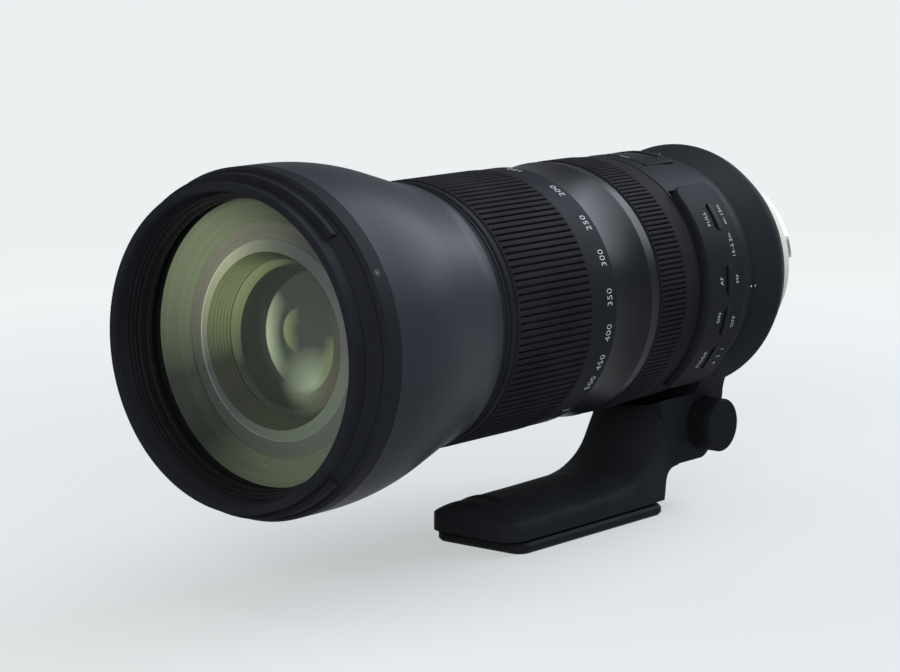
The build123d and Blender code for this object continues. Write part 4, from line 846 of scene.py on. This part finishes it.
class ZOOMLENS_OT_zoom_ring(bpy.types.Operator):
    """Make the zoom ring, its ribbed rubber and the ring before it"""

    bl_idname = "zoom_lens.zoom_ring"
    bl_label = "Zoom ring"

    def execute(self, context):
        rings = settings("rings")
        edge = rings.edge / MM
        start, end, band = sizes("zoom_ring_shell")
        rib_start, rib_end, top = sizes("zoom_grip")
        shell = turn_up(eased([
            (RING_BORE, start), (band - 0.2, start, 0.6), (band - 0.2, rib_start, 0.15), (GRIP_SEAT, rib_start),
            (GRIP_SEAT, rib_end), (band, rib_end, 0.1), (band, end, edge), (RING_BORE, end)]))
        piece("zoom_ring", shell, "zoom_ring", "ring_metal", ["zoom_ring_shell"])
        rows = grip_rows(rib_start, rib_end, top, 0.25, 0.9, 0.5)
        sleeve = ribbed(GRIP_BORE, rings.groove / MM, rings.zoom_ribs, rows)
        piece("zoom_rubber", sleeve, "zoom_ring", "rubber", ["zoom_grip"], crease=40)

        start, end, wide = sizes("rear_trim_ring")
        ring = turn_up(eased([
            (TRIM_BORE, start), (wide, start, 0.1), (wide, start + 1.7, 0.2), (wide - 0.5, start + 1.9, 0.1),
            (wide - 0.5, end - 1.2, 0.1), (wide - 0.1, end - 1.0, 0.2), (wide - 0.3, end, edge), (TRIM_BORE, end)]))
        piece("trim_ring", ring, "front_unit", "barrel_black", ["rear_trim_ring"])
        return {"FINISHED"}


class ZOOMLENS_OT_focus_ring(bpy.types.Operator):
    """Make the focus ring and its ribbed rubber with the smooth band behind it"""

    bl_idname = "zoom_lens.focus_ring"
    bl_label = "Focus ring"

    def execute(self, context):
        rings = settings("rings")
        start, end, lip = sizes("focus_ring_shell")
        rib_start, band_end, top = sizes("focus_grip")
        shell = turn_up(eased([
            (RING_BORE, start), (lip, start, 0.15), (lip, rib_start, 0.05), (GRIP_SEAT, rib_start),
            (GRIP_SEAT, band_end), (lip - 0.5, band_end), (lip - 0.5, end, 0.15), (RING_BORE, end)]))
        piece("focus_ring", shell, "focus_ring", "ring_metal", ["focus_ring_shell"])
        band = [(FOCUS_RIB_END, top - 0.1, 0), (band_end - 0.4, top - 0.45, 0), (band_end - 0.1, top - 0.55, 0),
                (band_end, top - 0.75, 0)]
        rows = grip_rows(rib_start, FOCUS_RIB_END, top, 0.2, 0.4, 0.5)[:-3] + band
        sleeve = ribbed(GRIP_BORE, rings.groove / MM, rings.focus_ribs, rows)
        piece("focus_rubber", sleeve, "focus_ring", "rubber", ["focus_grip"], crease=40)
        return {"FINISHED"}


# Numbers with their angles, the angle of the line before 600, and how far in front of the ring's end they are
ZOOM_NUMBERS = [("150", 85), ("200", 60), ("250", 40), ("300", 23), ("350", 5.7), ("400", -10), ("450", -24),
                ("500", -35), ("600", -66)]
ZOOM_LINE, ZOOM_LINE_ANGLE = (0.45, 3.4, 0.1), -53.8
NUMBER_INSET = 3.9


class ZOOMLENS_OT_zoom_numbers(bpy.types.Operator):
    """Paint the focal lengths round the zoom ring"""

    bl_idname = "zoom_lens.zoom_numbers"
    bl_label = "Zoom numbers"

    def execute(self, context):
        marks = settings("marks")
        height, relief = marks.number / MM, marks.relief / MM
        band = reach("zoom_ring_shell")
        station = back("zoom_ring_shell") - NUMBER_INSET
        shapes = [bend_round(words(text, height, relief), band, angle, station) for text, angle in ZOOM_NUMBERS]
        shapes.append(bend_round(flat([box_outline(*ZOOM_LINE)], relief), band, ZOOM_LINE_ANGLE, station))
        paint("zoom_numbers", shapes, "zoom_ring")
        return {"FINISHED"}


# Distance window, switches and marks

FRAME_HEIGHT, FRAME_CORNER, FRAME_EASE = 1.4, 3.0, 0.45
PANE_THICKNESS, PANE_CORNER, PANE_EASE, PANE_GAP = 0.7, 1.5, 0.12, 0.1
SCALE_R = 40.5
SCALE_START, SCALE_PITCH, SCALE_HEIGHT = 90.0, 12.5, 1.6
METRES_Y, FEET_Y = 2.4, -2.0
DISTANCES = [("\u221e", "\u221e"), ("50", "160"), ("20", "66"), ("12", "40"), ("8", "26"), ("6", "20"),
             ("4", "13"), ("3", "10"), ("2.2", "7")]
NOTE, NOTE_HEIGHT, NOTE_ANGLE, NOTE_INSET = "150-600", 0.9, 83, 1.5


def arc_width(node, radius):
    """How wide a node on top of the barrel is, measured round the barrel at that radius."""
    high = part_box(node)[1]
    return 2 * math.asin(high.x / high.z) * radius


class ZOOMLENS_OT_window(bpy.types.Operator):
    """Make the distance window's frame, its glass and the scale under it"""

    bl_idname = "zoom_lens.window"
    bl_label = "Distance window"

    def execute(self, context):
        relief = settings("marks").relief / MM
        frame_y, glass_y = middle("window_frame"), middle("distance_window")
        glass_length = length("distance_window")
        frame_top, glass_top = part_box("window_frame")[1].z / MM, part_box("distance_window")[1].z / MM
        seat = frame_top - FRAME_HEIGHT
        width = arc_width("window_frame", seat)
        opening = arc_width("distance_window", seat)
        outlines = [box_outline(width, length("window_frame"), FRAME_CORNER),
                    box_outline(opening, glass_length, PANE_CORNER, (0, frame_y - glass_y))]
        plate = bend_round(flat(outlines, FRAME_HEIGHT, FRAME_EASE), seat, 90, frame_y)
        piece("window_frame_plate", plate, "barrel", "panel_black", ["window_frame"], crease=40)
        outline = box_outline(opening - 2 * PANE_GAP, glass_length - 2 * PANE_GAP, PANE_CORNER - PANE_GAP)
        pane = bend_round(flat([outline], PANE_THICKNESS, PANE_EASE), glass_top - PANE_THICKNESS, 90, glass_y)
        piece("window_pane", pane, "barrel", "window_clear", ["distance_window"])
        note_y = front("window_frame") + NOTE_INSET
        paint("window_note", [bend_round(words(NOTE, NOTE_HEIGHT, relief), frame_top, NOTE_ANGLE, note_y)], "barrel")
        shapes = []
        for step, pair in enumerate(DISTANCES):
            angle = SCALE_START + SCALE_PITCH * step
            shapes += [bend_round(words(text, SCALE_HEIGHT, relief, 180), SCALE_R, angle, glass_y + row)
                       for text, row in zip(pair, (METRES_Y, FEET_Y))]
        paint("scale_numbers", shapes, "focus_ring")
        return {"FINISHED"}


SWITCHES = [("focus_limit_switch", 32.0), ("focus_mode_switch", 3.4), ("stabiliser_switch", -15.2),
            ("stabiliser_mode_switch", -34.0)]
PANEL_SEAT = 41.95
PANEL_ANGLES = (-53.0, 50.0)
PANEL_CORNER, PANEL_EASE = 4.5, 0.9
SLOT_SPAN, SLOT_Y, SLOT_LENGTH, SLOT_CORNER = 15.4, -57.9, 5.4, 2.4
# How deep the painted shade reaches on the slots' walls, and the margin and thickness of the black sheets of painted
# shade under the slots
SHADE_DEPTH, SHADE_MARGIN, SHADE_HEIGHT = 0.4, 0.5, 0.05
TAB_SPAN, TAB_DEPTH, TAB_HEIGHT, TAB_CORNER, TAB_EASE = 14.2, 1.6, 1.8, 1.2, 0.35


class ZOOMLENS_OT_switch_panel(bpy.types.Operator):
    """Make the raised switch panel with its slots, and the slides in them"""

    bl_idname = "zoom_lens.switch_panel"
    bl_label = "Switch panel"

    def execute(self, context):
        top = reach("switch_panel")
        panel_y, panel_angle = middle("switch_panel"), sum(PANEL_ANGLES) / 2
        width = math.radians(PANEL_ANGLES[1] - PANEL_ANGLES[0]) * PANEL_SEAT
        slot_width = math.radians(SLOT_SPAN) * PANEL_SEAT
        outlines = [box_outline(width, length("switch_panel"), PANEL_CORNER, bends=8)]
        for name, angle in SWITCHES:
            across = math.radians(angle - panel_angle) * PANEL_SEAT
            outlines.append(box_outline(slot_width, SLOT_LENGTH, SLOT_CORNER, (across, panel_y - SLOT_Y)))
        plate = bend_round(flat(outlines, top - PANEL_SEAT, PANEL_EASE, 4), PANEL_SEAT, panel_angle, panel_y)
        item = piece("panel_plate", plate, "barrel", "panel_black", ["switch_panel"], crease=40)
        # The slots' walls take painted shade
        item.data.materials.append(finish("slot_black"))
        for face in item.data.polygons:
            spot = face.center / MM
            turn, away = math.degrees(math.atan2(spot.z, spot.x)), math.hypot(spot.x, spot.z)
            beside = min(abs(turn - angle) for name, angle in SWITCHES)
            along = abs(spot.y - SLOT_Y)
            if away < top - SHADE_DEPTH and beside < SLOT_SPAN * 0.52 and along < SLOT_LENGTH * 0.55:
                face.material_index = 1
        # A black sheet of painted shade under each slot
        lining = box_outline(slot_width + 2 * SHADE_MARGIN, SLOT_LENGTH + 2 * SHADE_MARGIN, SLOT_CORNER)
        shade_sheets = [bend_round(flat([lining], SHADE_HEIGHT), PANEL_SEAT, angle, SLOT_Y)
                  for name, angle in SWITCHES]
        piece("slot_floors", gather(shade_sheets), "barrel", "panel_black", colour="slot_black")
        for name, angle in SWITCHES:
            outline = box_outline(math.radians(TAB_SPAN) * PANEL_SEAT, length(name), TAB_CORNER)
            shape = bend_round(flat([outline], TAB_HEIGHT, TAB_EASE), top - TAB_DEPTH, angle, middle(name))
            piece(name + "_tab", shape, body_of_switch(name), "switch_black", [name], crease=40)
        return {"FINISHED"}


def body_of_switch(name):
    """The body that a switch's solid belongs to."""
    for body, nodes in frame["record"]["behaviour"]["bodies"].items():
        if name in nodes:
            return body
    raise ValueError("no body holds " + name)


# Words on the panel, each with its angle and station
LABELS = [
    ("FULL", 31.5, -62.6), ("\u221e-15m", 32.5, -52.8), ("15-2.2m", 18.5, -53.4), ("AF", 3.4, -62.4),
    ("MF", 3.4, -52.9), ("ON", -13.0, -62.4), ("OFF", -16.0, -53.0), ("MODE", -34.0, -62.8), ("1", -30.0, -52.8),
    ("2", -34.0, -52.8), ("3", -38.0, -52.8),
]
# Dots and ticks on the barrel and the collar, each with its angle, station, width, length and corner
BARREL_MARKS = [(-3.0, -37.9, 0.7, 0.7, 0.34), (92.0, -37.9, 0.5, 1.0, 0.1)]
BARREL_MARK_R = 41.0
COLLAR_MARKS = [(-3.0, -35.7, 0.7, 0.7, 0.3), (-55.0, -35.6, 0.6, 1.6, 0.3), (90.0, -35.6, 0.6, 1.6, 0.3)]


class ZOOMLENS_OT_marks(bpy.types.Operator):
    """Paint the words by the switches and the dots and ticks of the collar"""

    bl_idname = "zoom_lens.marks"
    bl_label = "Words, dots and ticks"

    def execute(self, context):
        marks = settings("marks")
        relief = marks.relief / MM
        top = reach("switch_panel")
        shapes = [bend_round(words(text, marks.label / MM, relief), top, angle, station)
                  for text, angle, station in LABELS]
        paint("switch_words", shapes, "barrel")
        shapes = [bend_round(flat([box_outline(*mark)], relief), BARREL_MARK_R, angle, station)
                  for angle, station, *mark in BARREL_MARKS]
        paint("barrel_dots", shapes, "barrel")
        shapes = [bend_round(flat([box_outline(*mark)], relief), surface_r("collar_ring", station, angle),
                             angle, station) for angle, station, *mark in COLLAR_MARKS]
        paint("collar_marks", shapes, "tripod_collar")
        return {"FINISHED"}


# Tripod collar

KNOB_BORE, KNOB_GROOVE, KNOB_RIBS = 7.6, 0.6, 60


class ZOOMLENS_OT_clamp_knob(bpy.types.Operator):
    """Make the clamp knob's ribbed sleeve"""

    bl_idname = "zoom_lens.clamp_knob"
    bl_label = "Clamp knob"

    def execute(self, context):
        low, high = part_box("clamp_knob")
        middle_y, middle_z = (low.y + high.y) / 2 / MM, (low.z + high.z) / 2 / MM
        radius = (high.y - low.y) / 2 / MM
        start, end = low.x / MM, high.x / MM
        rows = [(start, radius - 0.5, 0), (start + 0.4, radius, 0), (start + 0.5, radius, 1),
                (end - 0.3, radius, 1), (end - 0.1, radius, 0.6), (end, radius - 0.25, 0)]
        sleeve = ribbed(KNOB_BORE, KNOB_GROOVE, KNOB_RIBS, rows, 0.5, 0.12)
        for vert in sleeve.verts:
            x, y, z = vert.co
            vert.co = (y, middle_y + x, middle_z + z)
        piece("knob_sleeve", sleeve, "clamp", "knob_black", ["clamp_knob"], crease=40)
        return {"FINISHED"}


# Stage

# Lamps: the place of each, what it faces, its size in metres, its colour and the setting that holds its power
LAMPS = [
    ("top_lamp", (0.10, -0.16, 0.95), (0.0, -0.13, 0.0), 0.9, (1.0, 1.0, 1.0), "top_power"),
    ("back_lamp", (0.30, 1.20, 0.95), (0.0, -0.12, 0.0), 1.2, (0.82, 0.90, 1.0), "side_power"),
    ("front_lamp", (0.42, -1.05, 0.30), (0.0, -0.25, 0.0), 0.4, (1.0, 1.0, 1.0), "front_power"),
]
FLOOR_REACH = 6.0


class ZOOMLENS_OT_stage(bpy.types.Operator):
    """Lay the floor, hang the lamps and set the camera"""

    bl_idname = "zoom_lens.stage"
    bl_label = "Stage"

    def execute(self, context):
        stage = settings("stage")
        scene = bpy.context.scene
        lens = bpy.data.cameras.new("camera")
        lens.sensor_width, lens.lens, lens.clip_end = 36.0, stage.lens, 100.0
        camera = bpy.data.objects.new("camera", lens)
        scene.collection.objects.link(camera)
        azimuth, elevation = stage.azimuth, stage.elevation
        away = Vector((math.sin(azimuth) * math.cos(elevation), -math.cos(azimuth) * math.cos(elevation),
                       math.sin(elevation)))
        camera.location = stage.place
        camera.rotation_mode = "QUATERNION"
        camera.rotation_quaternion = (-away).to_track_quat("-Z", "Y")
        scene.camera = camera
        lay_floor()
        lay_room(stage.world)
        for name, place, target, size, colour, power in LAMPS:
            hang_lamp(name, place, target, size, colour, getattr(stage, power))
        scene.view_settings.view_transform = "Standard"
        return {"FINISHED"}


def hang_lamp(name, place, target, size, colour, power):
    """A square lamp that faces target, in metres."""
    light = bpy.data.lights.new(name, "AREA")
    light.size, light.energy, light.color = size, power, colour
    lamp = bpy.data.objects.new(name, light)
    lamp.location = place
    lamp.rotation_euler = (Vector(place) - Vector(target)).to_track_quat("Z", "Y").to_euler()
    bpy.context.scene.collection.objects.link(lamp)


# The floor's colour near the lens, paler as a painted pool of light, and far off
FLOOR_NEAR = (0.895, 0.920, 0.930, 1.0)
FLOOR_FAR = (0.835, 0.870, 0.880, 1.0)
PAPER = (0.45, 0.46, 0.47, 1.0)
SHADOWED = (0.60, 0.61, 0.61, 1.0)
ROOM = (0.93, 0.96, 1.0, 1.0)
# Between which distances from the origin, in metres, the floor takes its far colour and its shadow fades out
FAR_START, FAR_END = 0.34, 0.75
FADE_START, FADE_END = 0.20, 0.55


def seen_directly(recipe):
    """1 for the rays that show the background as it is: from the camera, in gloss and through glass."""
    path = recipe.add("LightPath").outputs
    first = recipe.add("Math", {0: path["Is Camera Ray"], 1: path["Is Glossy Ray"]}, operation="MAXIMUM")
    inputs = {0: first.outputs["Value"], 1: path["Is Transmission Ray"]}
    return recipe.add("Math", inputs, operation="MAXIMUM").outputs["Value"]


def lay_floor():
    """A pale floor under the foot, paler near the lens as a painted pool of light, that keeps its shadow."""
    size, low = FLOOR_REACH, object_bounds()[0].z
    mesh = bpy.data.meshes.new("floor")
    mesh.from_pydata([(-size, -size, low), (size, -size, low), (size, size, low), (-size, size, low)],
                     [], [(0, 1, 2, 3)])
    floor = bpy.data.objects.new("floor", mesh)
    bpy.context.scene.collection.objects.link(floor)
    recipe = Recipe(bpy.data.materials.new("floor_paper"))
    place = recipe.place()
    away = recipe.add("VectorMath", {0: place}, operation="LENGTH").outputs["Value"]
    far = recipe.spread(away, 0.0, 1.0, FAR_START, FAR_END)
    colour = recipe.blend(far, FLOOR_NEAR, FLOOR_FAR)
    paper = recipe.add("BsdfDiffuse", {"Color": PAPER})
    glow = recipe.add("Emission", {"Color": colour, "Strength": 1.0})
    shadowed = recipe.add("BsdfDiffuse", {"Color": SHADOWED})
    share = recipe.spread(away, 0.52, 1.0, FADE_START, FADE_END)
    lit = recipe.add("MixShader", {0: share, 1: shadowed.outputs["BSDF"], 2: glow.outputs["Emission"]})
    recipe.finish_with(recipe.add(
        "MixShader", {0: seen_directly(recipe), 1: paper.outputs["BSDF"], 2: lit.outputs["Shader"]}))
    mesh.materials.append(recipe.material)
    floor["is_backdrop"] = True


def lay_room(strength):
    """Even light all round; seen directly it is the far floor's colour."""
    world = bpy.context.scene.world = bpy.data.worlds.new("room")
    recipe = Recipe(world, "Background")
    recipe.set(recipe.shader.inputs["Color"], ROOM)
    recipe.set(recipe.shader.inputs["Strength"], strength)
    seen = recipe.add("Background", {"Color": FLOOR_FAR})
    path = recipe.add("LightPath").outputs
    mixed = recipe.add(
        "MixShader", {0: path["Is Camera Ray"], 1: recipe.shader.outputs[0], 2: seen.outputs[0]})
    recipe.set(recipe.tree.nodes["World Output"].inputs["Surface"], mixed.outputs[0])


# The second element's finish carries painted reflections
OTHER_FINISH = {"main_barrel": "main_black", "second_element": "film_glass", "clamp_screw": "knob_black"}


class ZOOMLENS_OT_finish_solids(bpy.types.Operator):
    """Give every solid the finish of its slot"""

    bl_idname = "zoom_lens.finish_solids"
    bl_label = "Finish the solids"

    def execute(self, context):
        slots = {row["node"]: row["material_slot"] for row in frame["record"]["subparts"]}
        for name, item in frame["nodes"].items():
            item.data.materials.clear()
            item.data.materials.append(finish(OTHER_FINISH.get(name, slots[name])))
        return {"FINISHED"}


STEPS = [
    ZOOMLENS_OT_finish_solids,
    ZOOMLENS_OT_front_rings,
    ZOOMLENS_OT_front_glass,
    ZOOMLENS_OT_zoom_ring,
    ZOOMLENS_OT_focus_ring,
    ZOOMLENS_OT_zoom_numbers,
    ZOOMLENS_OT_window,
    ZOOMLENS_OT_switch_panel,
    ZOOMLENS_OT_marks,
    ZOOMLENS_OT_clamp_knob,
    ZOOMLENS_OT_stage,
]


class ZOOMLENS_PT_panel(bpy.types.Panel):
    """Lists the settings and the steps"""

    bl_idname = "ZOOMLENS_PT_panel"
    bl_label = "Zoom Lens"
    bl_space_type = "VIEW_3D"
    bl_region_type = "UI"
    bl_category = "Zoom Lens"

    def draw(self, context):
        for name in SETTINGS:
            box = self.layout.box()
            group = getattr(context.scene, name)
            for key in group.bl_rna.properties.keys():
                if key not in ("rna_type", "name"):
                    box.prop(group, key)
        for step in STEPS:
            self.layout.operator(step.bl_idname)


def register():
    for name, kind in SETTINGS.items():
        bpy.utils.register_class(kind)
        setattr(bpy.types.Scene, name, bpy.props.PointerProperty(type=kind))
    for kind in [*STEPS, ZOOMLENS_PT_panel]:
        bpy.utils.register_class(kind)


def unregister():
    for kind in reversed([*STEPS, ZOOMLENS_PT_panel]):
        bpy.utils.unregister_class(kind)
    for name, kind in SETTINGS.items():
        delattr(bpy.types.Scene, name)
        bpy.utils.unregister_class(kind)


def main():
    """Makes everything in order."""
    register()
    for step in STEPS:
        group, name = step.bl_idname.split(".")
        getattr(getattr(bpy.ops, group), name)()


if __name__ == "__main__":
    main()
